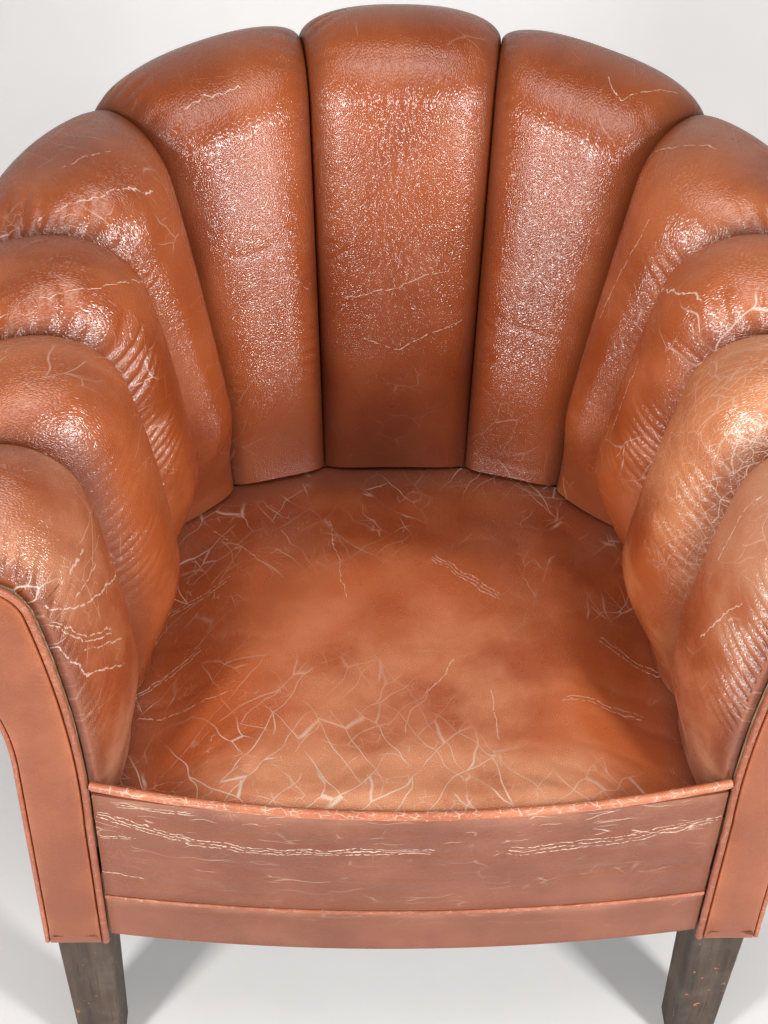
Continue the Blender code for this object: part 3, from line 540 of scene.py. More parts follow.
def layCrease(tree, place, crease):
    # one pale crease between two places on the leather, in metres
    start, end, width = crease
    away = vectorCalc(tree, "SUBTRACT", place, (*start, 0.0))
    span = (end[0] - start[0], end[1] - start[1], 0.0)
    along = vectorCalc(tree, "DOT_PRODUCT", away, span, "Value")
    share = calc(tree, "DIVIDE", along, span[0] ** 2 + span[1] ** 2)
    held = addNode(tree, "ShaderNodeClamp", {"Value": share}).outputs[0]
    off = vectorCalc(tree, "SUBTRACT", away, vectorCalc(tree, "SCALE", span, held))
    distance = addNode(tree, "ShaderNodeVectorMath", {0: off}, operation="LENGTH").outputs["Value"]
    return fade(tree, distance, 0.0, width, 1.0, 0.0)


# each net of fine creases: scale, stretch, turn, width, breaks, amount
channelLeather = {
    "seed": 0.0, "tan": 0.30, "roughness": 0.20,
    "nets": [
        (44.0, (0.35, 1.0), 0.3, 0.026, 0.52, 0.9),
        (40.0, (1.0, 0.3), 0.4, 0.024, 0.54, 0.8),
        (115.0, (0.6, 1.0), 1.1, 0.036, 0.55, 0.7),
    ],
}
seatLeather = {
    "seed": 4.0, "tan": 0.45, "roughness": 0.27,
    "body": (0.52, 0.125, 0.034), "deep": (0.38, 0.075, 0.018), "light": (0.60, 0.18, 0.06),
    "worn": (0.80, 0.35, 0.18),
    "nets": [
        (40.0, (0.20, 1.0), 1.05, 0.026, 0.40, 1.0),
        (40.0, (0.20, 1.0), -0.95, 0.026, 0.41, 1.0),
        (30.0, (0.3, 1.0), 0.15, 0.018, 0.53, 0.8),
        (110.0, (0.5, 1.0), 0.2, 0.036, 0.52, 0.7),
    ],
    "laid": [
        *bundle(0.00068, 0.006, 2, (-0.250, -0.204), (-0.187, -0.153)),
        *bundle(0.00062, 0.005, 2, (-0.231, -0.101), (-0.166, -0.069)),
        *chain(0.00074, (-0.243, -0.226), (-0.157, -0.221)),
        *bundle(0.00062, 0.004, 3, (0.029, -0.048), (0.091, -0.104)),
        *chain(0.0005, (-0.070, 0.029), (-0.053, -0.102)),
        *chain(0.00068, (0.022, -0.220), (0.047, -0.182)),
        *chain(0.00062, (0.078, -0.283), (0.074, -0.223)),
        *bundle(0.00062, 0.005, 2, (0.246, -0.181), (0.184, -0.142)),
        *bundle(0.00062, 0.005, 2, (0.213, -0.230), (0.137, -0.235)),
        *chain(0.00056, (-0.185, 0.024), (-0.135, -0.047)),
    ],
}
# frontLeather and facingLeather: darker copies of the channel leather, partly a faded tone of their own,
# partly painted shade against the strong front lamps
frontLeather = {
    "seed": 7.0, "tan": 0.35, "roughness": 0.34, "shine": 0.55,
    "body": (0.228, 0.072, 0.035), "deep": (0.185, 0.053, 0.023), "light": (0.29, 0.100, 0.052),
    "worn": (0.50, 0.22, 0.13),
    "nets": [
        (34.0, (0.14, 1.0), 0.05, 0.022, 0.53, 0.8),
        (90.0, (0.18, 1.0), -0.08, 0.040, 0.52, 0.9),
        (60.0, (1.0, 0.5), 0.3, 0.022, 0.60, 0.5),
    ],
    "laid": [
        *bundle(0.00074, 0.0035, 3, (-0.267, 0.386), (-0.242, 0.380), (-0.188, 0.362), (-0.138, 0.357),
                (0.016, 0.362)),
        *bundle(0.00068, 0.0035, 2, (-0.250, 0.404), (-0.185, 0.402)),
        *bundle(0.00062, 0.003, 2, (-0.267, 0.357), (-0.235, 0.361)),
        *chain(0.00062, (-0.267, 0.309), (-0.231, 0.304)),
        *bundle(0.00068, 0.0045, 3, (0.080, 0.356), (0.180, 0.362), (0.262, 0.374)),
    ],
}
facingLeather = {
    "seed": 9.0, "tan": 0.30, "roughness": 0.34, "shine": 0.55,
    "body": (0.295, 0.084, 0.032), "deep": (0.24, 0.062, 0.022), "light": (0.36, 0.115, 0.048),
    "dirtAndShade": (0.20, 0.070, 0.048),
    "nets": [(60.0, (0.5, 1.0), 0.4, 0.022, 0.57, 0.6)],
}
weltLeather = {
    "seed": 12.0, "tan": 0.35, "roughness": 0.38,
    "nets": [(230.0, (1.6, 0.5), 0.0, 0.10, 0.46, 0.9), (90.0, (1.2, 0.4), 0.3, 0.05, 0.50, 0.9)],
}
backLeather = dict(facingLeather, seed=15.0, body=(0.36, 0.098, 0.038))

seatMaterial = makeLeather("seatLeather", seatLeather)
frontMaterial = makeLeather("frontLeather", frontLeather)
facingMaterial = makeLeather("facingLeather", facingLeather)
weltMaterial = makeLeather("weltLeather", weltLeather)
backMaterial = makeLeather("outsideLeather", backLeather)
print("leather mixed")


# Channels

channels = {
    "rows": (190, 74, 16),                # face, roll, lower end
    "across": 64,
    "seamHeight": 0.006,
    "seamGap": 0.0005,
    "leastLift": 0.001,
    "faceFullness": (0.036, 0.039, 0.061, 0.066, 0.058, 0.037),
    "crestFullness": (0.033, 0.029, 0.020, 0.025, 0.026, 0.029),
    "footFullness": (0.014, 0.016, 0.022, 0.026, 0.024, 0.015),
    "footSwell": 0.36,
    "uneven": {-5: -0.007, 3: 0.007, 4: 0.007},     # stuffing that has moved
    "lumps": 0.0012,
    "wornArms": {2: 1.5, 3: 0.55, 4: 0.95, 5: 0.70, -2: 0.70, -3: 0.15, -4: 0.40, -5: 0.45},
    "endFullness": 0.006,
    "frontSkew": 0.26,
    "pleatSpacing": 0.0105,
    "pleatSlant": (3.4, 0.6),             # turns across half a channel, on the face and over the roll
    "pleatDepth": 0.0055,
    "tuckSpacing": 0.013,
    "tuckDepth": 0.0022,
    "wrinkleDepth": 0.0007,
}


# creases and cracks laid on single channels, as places across and up the leather
channelWear = {
    0: {"laid": [
        *chain(0.0005, (-0.057, 0.192), (0.000, 0.205), (0.038, 0.221)),
        *chain(0.00062, (-0.037, 0.151), (-0.004, 0.139), (0.061, 0.170)),
    ]},
    -1: {"laid": [
        *chain(0.00043, (-0.041, 0.236), (0.025, 0.215), (0.050, 0.194)),
        *chain(0.0005, (-0.048, 0.386), (0.009, 0.383)),
    ]},
    1: {"laid": [
        *chain(0.00043, (0.007, 0.295), (0.043, 0.324)),
        *chain(0.00043, (-0.016, 0.208), (0.010, 0.259)),
        *chain(0.0005, (0.020, 0.400), (0.037, 0.391), (0.084, 0.425)),
    ]},
    -2: {"laid": [
        *chain(0.0005, (-0.021, 0.374), (0.013, 0.358)),
        *chain(0.0005, (-0.083, 0.374), (-0.045, 0.355), (0.007, 0.335)),
    ]},
    2: {"laid": [
        *chain(0.0005, (-0.070, 0.340), (-0.020, 0.369)),
        *chain(0.00056, (-0.017, 0.216), (-0.003, 0.327)),
    ]},
    -3: {"laid": chain(0.0005, (-0.043, 0.337), (-0.022, 0.317), (0.020, 0.300))},
    3: {"laid": [
        *chain(0.00056, (-0.020, 0.300), (0.030, 0.314)),
        *chain(0.0005, (0.003, 0.153), (0.003, 0.243)),
    ]},
    4: {
        "light": (0.66, 0.26, 0.10),
        "worn": (0.82, 0.33, 0.145),
        "nets": [
            (80.0, (0.5, 1.0), 0.9, 0.040, 0.36, 1.0),
            (70.0, (1.0, 0.5), 0.2, 0.036, 0.38, 1.0),
            (150.0, (0.8, 1.0), 0.5, 0.055, 0.40, 0.9),
        ],
    },
    -5: {
        "worn": (0.74, 0.37, 0.22),
        "laid": [
            *chain(0.00124, (-0.038, 0.260), (-0.012, 0.258)),
            *chain(0.00087, (-0.042, 0.240), (-0.004, 0.234)),
            *chain(0.00118, (-0.071, 0.263), (-0.048, 0.234), (0.042, 0.180)),
            *bundle(0.00081, 0.004, 2, (-0.074, 0.243), (-0.052, 0.201), (-0.016, 0.169)),
            *chain(0.00074, (-0.054, 0.193), (0.0, 0.147)),
            *chain(0.00112, (-0.076, 0.221), (-0.060, 0.173), (-0.008, 0.126)),
        ],
        "cracks": [
            *chain(0.00068, (-0.076, 0.283), (-0.059, 0.287)),
            *chain(0.00068, (-0.076, 0.270), (-0.052, 0.263)),
            *chain(0.00056, (-0.076, 0.247), (-0.062, 0.234)),
        ],
    },
    5: {
        "worn": (0.74, 0.37, 0.22),
        "laid": [
            *chain(0.00099, (-0.012, 0.224), (-0.012, 0.280)),
            *chain(0.00074, (0.008, 0.156), (0.032, 0.226)),
            *chain(0.00074, (-0.030, 0.300), (0.020, 0.310)),
        ],
    },
}


def channelFullness(number, rows):
    face, crest = channels["faceFullness"][abs(number)], channels["crestFullness"][abs(number)]
    face = face + channels["uneven"].get(number, 0.0)
    climb = mix(channels["footFullness"][abs(number)], face, ease(rows / channels["footSwell"]))
    over = mix(face, crest, ease((rows - 1) / 0.45)) * mix(1.0, 0.8, ease(rows - 1))
    down = mix(crest * 0.8, channels["endFullness"], ease(rows - 2))
    return np.where(rows <= 1, climb, np.where(rows <= 2, over, down))


def channelProfile(number, t):
    if abs(number) == 5:
        front = t if number > 0 else -t
        front = front + channels["frontSkew"] * (1 - front * front)
        return np.clip(1 - np.abs(front) ** np.where(front > 0, 2.0, 2.6), 0, 1) ** 0.62
    return np.clip(1 - np.abs(t) ** (3.0 if abs(number) < 2 else 2.5), 0, 1) ** 0.5


def makeChannel(name, number):
    face, roll, end = channels["rows"]
    rows = np.concatenate([np.linspace(0, 1, face, endpoint=False), np.linspace(1, 2, roll, endpoint=False),
                           np.linspace(2, 3, end)])
    t = -np.cos(np.linspace(0, math.pi, channels["across"]))
    middle = channels["across"] // 2
    edge = channels["seamGap"] / 2 / tubWall["footWidths"][abs(number)]
    base, normal = wallGrid(number + t * (0.5 - edge), rows)
    climb = runLengths(base[:, middle], 0)[:, None]
    r, u = rows[:, None], t[None, :]
    front = u if number >= 0 else -u                 # 1 at the seam nearer the arm front
    lift = channels["seamHeight"] + channelFullness(number, r) * channelProfile(number, u)
    inside = np.clip((1 - np.abs(u)) / 0.12, 0, 1)   # nothing moves at the seams
    seed = 40 + number
    width = runLengths(base, 1)
    width = width - width[:, [middle]]

    gathered = np.zeros_like(lift)
    if abs(number) >= 2:
        slant = mix(*channels["pleatSlant"], ease((r - 0.6) / 0.7))
        phase = climb / channels["pleatSpacing"] + 0.55 * softNoise(climb * 25, u * 1.5, seed) + slant * front
        reachIn = ease((front - 0.40 - 0.25 * softNoise(climb * 60, 0 * u, seed + 20)) / 0.38)
        patchy = np.clip(0.50 + 0.8 * softNoise(climb * 12, 0 * u, seed + 1), 0.1, 1)
        gathered = reachIn * (ease((r - 0.35) / 0.3) * (1 - ease((r - 1.75) / 0.4)) * patchy)
        depth = channels["pleatDepth"] * gathered
        lift = lift - depth * (1 - np.abs(np.sin(math.pi * phase))) ** 1.5 * ease((1 - np.abs(u)) / 0.05)
    else:
        phase = climb / channels["tuckSpacing"] + 0.9 * softNoise(climb * 30, u * 2.0, seed) + 1.1 * np.abs(u)
        reachIn = ease((np.abs(u) - 0.62 - 0.2 * softNoise(climb * 55, np.sign(u) * 3.0, seed + 20)) / 0.3)
        tucks = reachIn * ease((r - 0.15) / 0.2) * (1 - ease((r - 1.9) / 0.4))
        tucks = tucks * np.clip(0.35 + 0.9 * softNoise(climb * 16, np.sign(u) * 2.0, seed + 1), 0, 1)
        depth = channels["tuckDepth"] * tucks
        lift = lift - depth * (1 - np.abs(np.sin(math.pi * phase))) ** 1.5 * inside
    patchy = 0.4 + 0.6 * softNoise(climb * 8, width * 10, seed + 3) ** 2
    wrinkles = foldNoise(climb * 26 + 9, width * 9 + 4, seed + 2) * patchy
    lift = lift - channels["wrinkleDepth"] * wrinkles * inside
    lift = lift + channels["lumps"] * softNoise(climb * 11, width * 13, seed + 4) * inside
    points = base + normal * np.maximum(lift, channels["leastLift"])[..., None]
    points[..., 2] = np.maximum(points[..., 2], tubWall["wallFoot"])

    place = np.stack([runLengths(points, 1), np.broadcast_to(climb, lift.shape)], -1)
    place[..., 0] -= place[:, [middle], 0]
    # seam: the strips beside each seam, with less wear and painted shade in the valleys between channels
    seam = ease((np.abs(u) - 0.72) / 0.28) + 0 * r
    height = ease((r - 0.25) / 0.8) * (1 - ease((r - 1.9) / 0.5))
    arm = ease((abs(number) - 1) / 3)
    worn = 0.10 + channels["wornArms"].get(number, 0.40) * arm * height
    lowFront = (abs(number) == 5) * 0.8 * (1 - ease((r - 0.1) / 0.45))
    # lowShade: painted shade over the lower rows where the arms shade the back, weaker on the arms, none on
    # the front channels
    lowShade = mix(0.55, 0.30, arm) * (1 - ease(r / mix(0.5, 0.4, arm))) * (abs(number) < 5)
    drift = 0.25 * softNoise(climb * 9, width * 12, seed + 5)
    marks = {
        "rubbed": np.clip(worn * (1 - 0.8 * seam) + 0.30 * gathered + lowFront, 0, 1),
        "creased": np.clip(0.10 + 0.30 * height * arm + 0.9 * gathered + drift, 0, 1),
        # painted shade: dark in the seam valleys and low on the channels
        "soiled": np.clip(0.60 * seam + lowShade, 0, 1),
    }
    wear = channelWear.get(number, {})
    look = dict(channelLeather, seed=2.0 + 0.9 * number, tan=mix(0.25, 0.6, arm), **wear)
    material = makeLeather(name + "Leather", look)
    back = np.stack([wallRows(number + s * (0.5 - edge), rows)[0] for s in (-1, 0, 1)], 1)
    piece = closedPanel(name, points, back, place, marks, material)


makeChannel("channel_center", 0)
for number in range(1, 6):
    makeChannel(f"channel_left_{number}", -number)
    makeChannel(f"channel_right_{number}", number)
print("channels stuffed")


# Seat front surfaces

seatFront = {
    "halfWidth": 0.2672,
    "offset": 0.0045,
    "pipeHeight": 0.421,
    "pipeRise": 0.007,
    "pipeBow": 0.027,
    "railBow": 0.019,
    "borderTop": 0.272,
    "railBottom": 0.216,
    "railTop": 0.302,
    "columns": 150,
    "bandRows": 44,
    "borderRows": 16,
    "foldDepth": 0.0014,
    "borderFoldDepth": 0.0003,
    "lumps": 0.0008,
    "weltClear": 0.003,                   # band and border stop short of the welt, and the band of the piping
    "borderClear": 0.0028,
    "pipeClear": 0.0045,
    "lipClear": 0.002,
}


def frontDepth(x, bow, setBack=0.0):
    return facingY - seatFront["offset"] - bow * (1 - (x / seatFront["halfWidth"]) ** 2) + setBack


def bowAt(z):
    share = (z - seatFront["borderTop"]) / (seatFront["pipeHeight"] - seatFront["borderTop"])
    return mix(seatFront["railBow"], seatFront["pipeBow"], share)


def borderBow(z):
    return seatFront["railBow"] + 0 * z


frontWelts = {
    "pipeRadius": 0.0038,
    "pipeProud": 0.0010,
    "lipRadius": 0.0013,                  # the folded edge of the band just under the piping
    "lipDrop": 0.0060,
    "lipSetBack": 0.0006,
    "weltRadius": 0.0022,
    "weltProud": 0.0002,
    "points": 140,
}


# Seat cushion

seatPad = {
    "columns": 150,
    "rows": 130,
    "inset": 0.0095,
    "crownFront": 0.040,
    "crownBack": 0.022,
    "grooveDepth": 0.0016,
    "sagDepth": 0.002,
    "lumps": 0.0016,
    "frontRoll": 0.0035,
    "fanCenter": 0.16,                    # the radial folds spread from here, behind the facings' plane
    "overRail": 0.0015,
    "behindBand": 0.0009,
    "underPipe": 0.0006,
}


def makeSeat():
    line = tubWall["footLine"]
    a = np.linspace(-1, 1, seatPad["columns"])[None, :]
    b = np.linspace(0, 1, seatPad["rows"])[:, None]
    half, depth = line["halfWidth"] - seatPad["inset"], line["bendDepth"] - seatPad["inset"]
    curve = np.clip(1 - np.abs(a) ** line["squareness"], 0, 1) ** (1 / line["squareness"])
    backY = facingY + line["back"] - line["bendDepth"] + depth * curve
    x = a * mix(half + line["flare"], half, b)
    rim = tubWall["wallFoot"] - seatGap
    low = seatFront["railTop"] + seatPad["overRail"] + 2 * seatGap

    def plan(bow, setBack):
        return x, mix(frontDepth(x, bow, leatherThickness + seatPad["behindBand"] + setBack), backY, b)

    frontRise = seatFront["pipeHeight"] - tubWall["wallFoot"]
    roll = mix(frontRise, mix(seatPad["crownFront"], seatPad["crownBack"], b), ease(b / 0.12))
    crown = ease((0.9 - np.abs(a)) / 0.35) * ease((0.94 - b) / 0.30) * roll
    behindPipe = frontWelts["pipeRadius"] - frontWelts["pipeProud"] - leatherThickness - seatPad["underPipe"]
    topX, topY = plan(seatFront["pipeBow"], behindPipe)
    inside = np.minimum(ease((1 - np.abs(a)) / 0.15), ease((1 - b) / 0.15)) * ease(b / 0.06)
    fanY = topY - facingY - seatPad["fanCenter"]
    fan, reach = np.arctan2(fanY, topX * 1.2), np.hypot(topX, fanY)
    radial = foldNoise(fan * 5.5, reach * 9, 61) * ease((reach - 0.09) / 0.12)
    cross = foldNoise(topX * 11 + 5, topY * 30 + 2, 62) * ease((0.30 - b) / 0.25)
    sag = seatPad["sagDepth"] * ease((seatPad["fanCenter"] - reach) / seatPad["fanCenter"])
    z = rim + crown - inside * (seatPad["grooveDepth"] * (radial + cross) + sag)
    z = z + inside * seatPad["lumps"] * softNoise(topX * 14, topY * 14, 63)
    nearFront = ease(b / 0.05) * (1 - ease((b - 0.06) / 0.16))
    z = z + seatPad["frontRoll"] * nearFront * ease((0.92 - np.abs(a)) / 0.4)
    top = np.stack([topX, topY, z], -1)
    baseX, baseY = plan(bowAt(low), 0.0)
    base = np.stack([baseX, baseY, np.full_like(baseY, low)], -1)
    place = np.stack([topX, topY], -1)
    rimShade = 1 - np.minimum(ease((1 - np.abs(a)) / 0.16), ease((1 - b) / 0.14))
    sat = 0.60 * ease((0.8 - np.abs(a)) / 0.6) * ease((0.85 - b) / 0.6)
    # kneeWearAndSheen: paler front of the seat, partly real wear, partly a painted sheen where the front roll
    # catches the top light
    kneeWearAndSheen = 0.9 * ease((0.20 - b) / 0.16) * ease((0.95 - np.abs(a)) / 0.4)
    frontCreases = 1.1 * ease((0.24 - b) / 0.18) * ease((0.55 - a) / 0.5) + 0.5 * ease((0.16 - b) / 0.12)
    fanCreases = 0.7 * radial * ease((reach - 0.1) / 0.1)
    drift = 0.5 * softNoise(topX * 9 + 3, topY * 9, 64)
    # painted shade: dark in the crevice along the rim where the seat meets the channels, and a little towards
    # the back
    dirtAndShade = 0.8 * rimShade * (1 - ease((0.1 - b) / 0.08)) + 0.12 * ease((b - 0.55) / 0.4)
    marks = {
        "rubbed": np.clip(sat + kneeWearAndSheen, 0, 1),
        "creased": np.clip(0.06 + frontCreases + fanCreases + drift, 0, 1),
        "soiled": np.clip(dirtAndShade, 0, 1),
    }
    piece = closedPanel("seat_cushion", top, base, place, marks, seatMaterial)


makeSeat()


def makeFrontPanel(name, low, high, rows, bow, folds, seed):
    x = np.linspace(-1, 1, seatFront["columns"])[None, :] * seatFront["halfWidth"]
    z = np.linspace(low, high, rows)[:, None]
    up = (z - low) / (high - low)
    fromEnd = 1 - np.abs(x) / seatFront["halfWidth"]
    inside = ease(fromEnd / 0.06) * ease(up / 0.12) * ease((1 - up) / 0.12)
    groove = foldNoise(x * 5 + seed, z * 34 + x * 3, seed) + 0.6 * foldNoise(x * 9, z * 60 - x * 4, seed + 1)
    y = frontDepth(x, bow(z)) + inside * folds * groove
    y = y + inside * seatFront["lumps"] * softNoise(x * 12, z * 25, seed + 2)
    front = np.stack(np.broadcast_arrays(x, y, z), -1)
    columns = np.round(np.linspace(0, seatFront["columns"] - 1, 21)).astype(int)
    back = front[:, columns].copy()
    back[..., 1] = frontDepth(back[..., 0], np.broadcast_to(bow(z), back.shape[:2]), leatherThickness)
    place = np.stack(np.broadcast_arrays(x, z), -1)
    creased = 0.03 + 0.75 * ease((up - 0.50) / 0.4) + 0.35 * groove * inside
    marks = {
        "rubbed": np.clip(0.15 + 0.5 * ease((up - 0.8) / 0.2) + 0 * x, 0, 1),
        "creased": np.clip(folds / seatFront["foldDepth"] * creased, 0, 1),
        # darker at the ends and towards the bottom of the panel
        "soiled": np.clip(0.5 * (1 - ease(fromEnd / 0.03)) + 0.25 * (1 - ease(up / 0.1)), 0, 1),
    }
    closedPanel(name, front, back, place, marks, frontMaterial)


bandLow = seatFront["borderTop"] + seatFront["weltClear"]
bandHigh = seatFront["pipeHeight"] - seatFront["pipeClear"] - seatFront["lipClear"]
makeFrontPanel("seat_front_band", bandLow, bandHigh, seatFront["bandRows"], bowAt, seatFront["foldDepth"], 71)
borderLow = seatFront["railBottom"] - seatGap
borderHigh = seatFront["borderTop"] - seatFront["borderClear"]
makeFrontPanel("front_border", borderLow, borderHigh, seatFront["borderRows"], borderBow,
               seatFront["borderFoldDepth"], 75)


def makeFrontWelts():
    x = np.linspace(-1, 1, frontWelts["points"]) * seatFront["halfWidth"]
    z = seatFront["pipeHeight"] + seatFront["pipeRise"] * (x / seatFront["halfWidth"]) ** 2
    path = np.stack([x, frontDepth(x, seatFront["pipeBow"], -frontWelts["pipeProud"]), z], -1)
    radius = frontWelts["pipeRadius"] * (1 + 0.05 * softNoise(x * 60, 0 * x, 81))
    rings = tubeRings(path, radius, 14, (0.0, 0.0, 1.0))
    lipDepth = np.full_like(x, frontWelts["pipeProud"] - frontWelts["lipSetBack"])
    lipHeight = 0.0004 * softNoise(x * 70, 0 * x, 83) - frontWelts["lipDrop"]
    lip = path + np.stack([0 * x, lipDepth, lipHeight], -1)
    lipRings = tubeRings(lip, frontWelts["lipRadius"], 8, (0.0, 0.0, 1.0))
    addWelt("seat_piping", [rings, lipRings], rubbed=0.8, creased=0.75, soiled=0.0)
    height = np.full_like(x, seatFront["borderTop"])
    path = np.stack([x, frontDepth(x, seatFront["railBow"], -frontWelts["weltProud"]), height], -1)
    rings = tubeRings(path, frontWelts["weltRadius"], 10, (0.0, 1.0, 0.0), 0.8)
    addWelt("border_welt", [rings], rubbed=0.5, creased=0.4, soiled=0.1)


makeFrontWelts()
print("seat and front covered")


# Arm facings

armFacing = {
    "thickness": 0.008,
    "innerWelt": 0.0035,
    "innerWeltAt": 0.005,
    "outerWelt": 0.0025,
    "outerWeltAt": 0.0044,
    # from the edge inwards: how far in, how far forward of the plane, how rubbed
    "swell": [(0.0, -0.008, 0.3), (0.0, -0.0025, 0.5), (0.0007, -0.0008, 0.6), (0.0025, 0.0, 0.4),
              (0.007, 0.00108, 0.2), (0.014, 0.0018, 0.1)],
}


def facingOutline(inset, outsideInset):
    # inner edge upwards, over the roll, and down the outer edge; returns x and z
    cut, normal = wallRows(lastSeam, np.concatenate([np.linspace(0, 1, 40), np.linspace(1, 2, 40)[1:]]))
    inner = cut[:, [0, 2]] - normal[:, [0, 2]] * inset
    inner[0, 0] = cut[0, 0] + inset
    heights = np.linspace(tubWall["facingBottom"], inner[0, 1], 12, endpoint=False)
    lower = np.column_stack([np.full(12, inner[0, 0]), heights])
    cut, normal = wallRows(lastSeam, [2.0, 2.2, 2.4, 2.6, 2.8, 3.0, *np.linspace(3.02, 4.0, 40)])
    outer = (cut[:, [0, 2]] - normal[:, [0, 2]] * outsideInset)[1:]
    return np.vstack([lower, inner]), outer


def facingWelt(sign, outline, radius, forward, sides):
    depth = np.full(len(outline), facingY - seatGap - forward)
    path = np.column_stack([sign * outline[:, 0], depth, outline[:, 1]])
    return tubeRings(path, radius, sides, (0.0, 1.0, 0.0))


def makeFacing(side, sign):
    inner, outer = facingOutline(2 * armFacing["innerWelt"] + seatGap, 2 * armFacing["outerWelt"] + seatGap)
    loop = np.vstack([inner, outer])
    ahead = np.roll(loop, -1, 0) - np.roll(loop, 1, 0)
    ahead /= np.linalg.norm(ahead, axis=1, keepdims=True)
    inward = np.column_stack([ahead[:, 1], -ahead[:, 0]])
    front = facingY - seatGap - armFacing["thickness"]
    rings, rubbed = [], []
    count = len(loop)
    for step, rise, worn in armFacing["swell"]:
        shrunk = loop + inward * step
        shrunk[:, 1] = np.maximum(shrunk[:, 1], tubWall["facingBottom"] + step)
        rings.append(np.column_stack([sign * shrunk[:, 0], np.full(count, front - rise), shrunk[:, 1]]))
        rubbed.append(np.full(count, worn))
    points = np.concatenate(rings)
    faces = tubeFaces(len(rings), count)
    if sign > 0:
        faces = [tuple(reversed(face)) for face in faces]
    marks = {
        "rubbed": np.concatenate(rubbed),
        "creased": 0.15 + 0.3 * ease((points[:, 2] - 0.52) / 0.1),
        # darker and duller towards the bottom of the facing
        "soiled": 0.35 * ease((0.26 - points[:, 2]) / 0.05),
    }
    name = "arm_facing_" + side
    addPiece(name, points, faces, points[:, [0, 2]], marks, facingMaterial, [name], smoothAngle=35)

    inner = facingOutline(armFacing["innerWelt"], 0.0)[0]
    rings = facingWelt(sign, inner, armFacing["innerWelt"] * 0.94, armFacing["innerWeltAt"], 12)
    addWelt("double_welt_" + side, [rings], rubbed=0.3, creased=0.25, soiled=0.25)
    outer = facingOutline(0.0, armFacing["outerWelt"])[1]
    rings = facingWelt(sign, outer, armFacing["outerWelt"], armFacing["outerWeltAt"], 10)
    addWelt("outer_welt_" + side, [rings], rubbed=0.4, creased=0.3, soiled=0.1)


for side, sign in (("left", -1), ("right", 1)):
    makeFacing(side, sign)


# Outside covers and their welts

outsideCover = {"panelGap": 0.008, "rows": 60, "weltRadius": 0.0025, "endGap": 0.004}


def makeOutsidePanel(name, columns, seed):
    rows = np.linspace(3, 4, outsideCover["rows"])
    base, normal = wallGrid(columns, rows)
    run, climb = runLengths(base, 1), runLengths(base[:, [0]], 0)
    up = (4 - rows)[:, None]
    span = np.linspace(0, 1, len(columns))[None, :]
    inside = ease(up / 0.08) * ease((1 - up) / 0.08) * ease(span / 0.05) * ease((1 - span) / 0.05)
    drape = 0.0012 * softNoise(run * 8, climb * 7, seed) - 0.0006 * foldNoise(run * 14, climb * 5, seed + 1)
    front = base + normal * (inside * drape)[..., None]
    back = base - normal * leatherThickness
    place = np.stack(np.broadcast_arrays(run, climb), -1)
    marks = {
        "rubbed": np.clip(0.15 + 0.35 * ease((up - 0.85) / 0.15) + 0 * run, 0, 1),
        "creased": np.clip(0.10 + 0.3 * softNoise(run * 5, climb * 5, seed + 2), 0, 1),
        # darker towards the bottom of the cover
        "soiled": np.clip(0.35 * ease((0.12 - up) / 0.1) + 0 * run, 0, 1),
    }
    closedPanel(name, front, back, place, marks, backMaterial)


gap = outsideCover["panelGap"]
armColumns = np.linspace(2.5 + gap, lastSeam - outsideCover["endGap"], 44)
makeOutsidePanel("outside_back", np.linspace(-2.5 + gap, 2.5 - gap, 130), 91)
makeOutsidePanel("outside_arm_right", armColumns, 93)
makeOutsidePanel("outside_arm_left", -armColumns[::-1], 95)


def makeRimWelt():
    path = []
    for q in np.linspace(-lastSeam + outsideCover["endGap"], lastSeam - outsideCover["endGap"], 260):
        points, normals = wallRows(q, [3.0 - 1e-5, 3.0 + 1e-5])
        path.append(points.mean(0) + normals[0] * 0.0005)
    rings = tubeRings(np.array(path), tubWall["rimWelt"], 10, (0.0, 0.0, 1.0))
    addWelt("rim_welt", [rings], rubbed=0.4, creased=0.3, soiled=0.15)


makeRimWelt()
for side, sign in (("left", -1), ("right", 1)):
    points, normals = wallRows(sign * 2.5, np.linspace(3.01, 4.0, 60))
    rings = tubeRings(points + normals * 0.0026, outsideCover["weltRadius"], 10, (0.0, 1.0, 0.0))
    addWelt("corner_welt_" + side, [rings], rubbed=0.35, creased=0.25, soiled=0.1)
print("facings and outside covered")


# Wood, steel and cloth

def makeWood(name, dark, light, chips, scale):
    material, tree, shader = newMaterial(name)
    place = objectPlace(tree)
    grain = placeGroup(tree, woodGrain, {"Place": place, "Scale": scale})
    color = mixColor(tree, fade(tree, grain["Streaks"], 0.32, 0.68), dark, light)
    color = mixColor(tree, times(tree, grain["Pores"], 0.6), color, tuple(c * 0.35 for c in dark))
    if chips:
        spots = noise(tree, place, 95.0, 3.0, 0.6, flat=False)
        color = mixColor(tree, fade(tree, spots, 0.66, 0.70), color, chips)
        dust = noise(tree, place, 24.0, 4.0, 0.6, flat=False)
        dusty = times(tree, fade(tree, dust, 0.45, 0.75), 0.22)
        color = mixColor(tree, dusty, color, (0.26, 0.21, 0.17))
    tree.links.new(color, shader.inputs["Base Color"])
    tree.links.new(calc(tree, "MULTIPLY_ADD", grain["Streaks"], 0.3, 0.45), shader.inputs["Roughness"])
    pits = times(tree, grain["Pores"], -0.0002)
    height = calc(tree, "MULTIPLY_ADD", grain["Streaks"], 0.0005, pits)
    addBump(tree, shader, height)
    return material


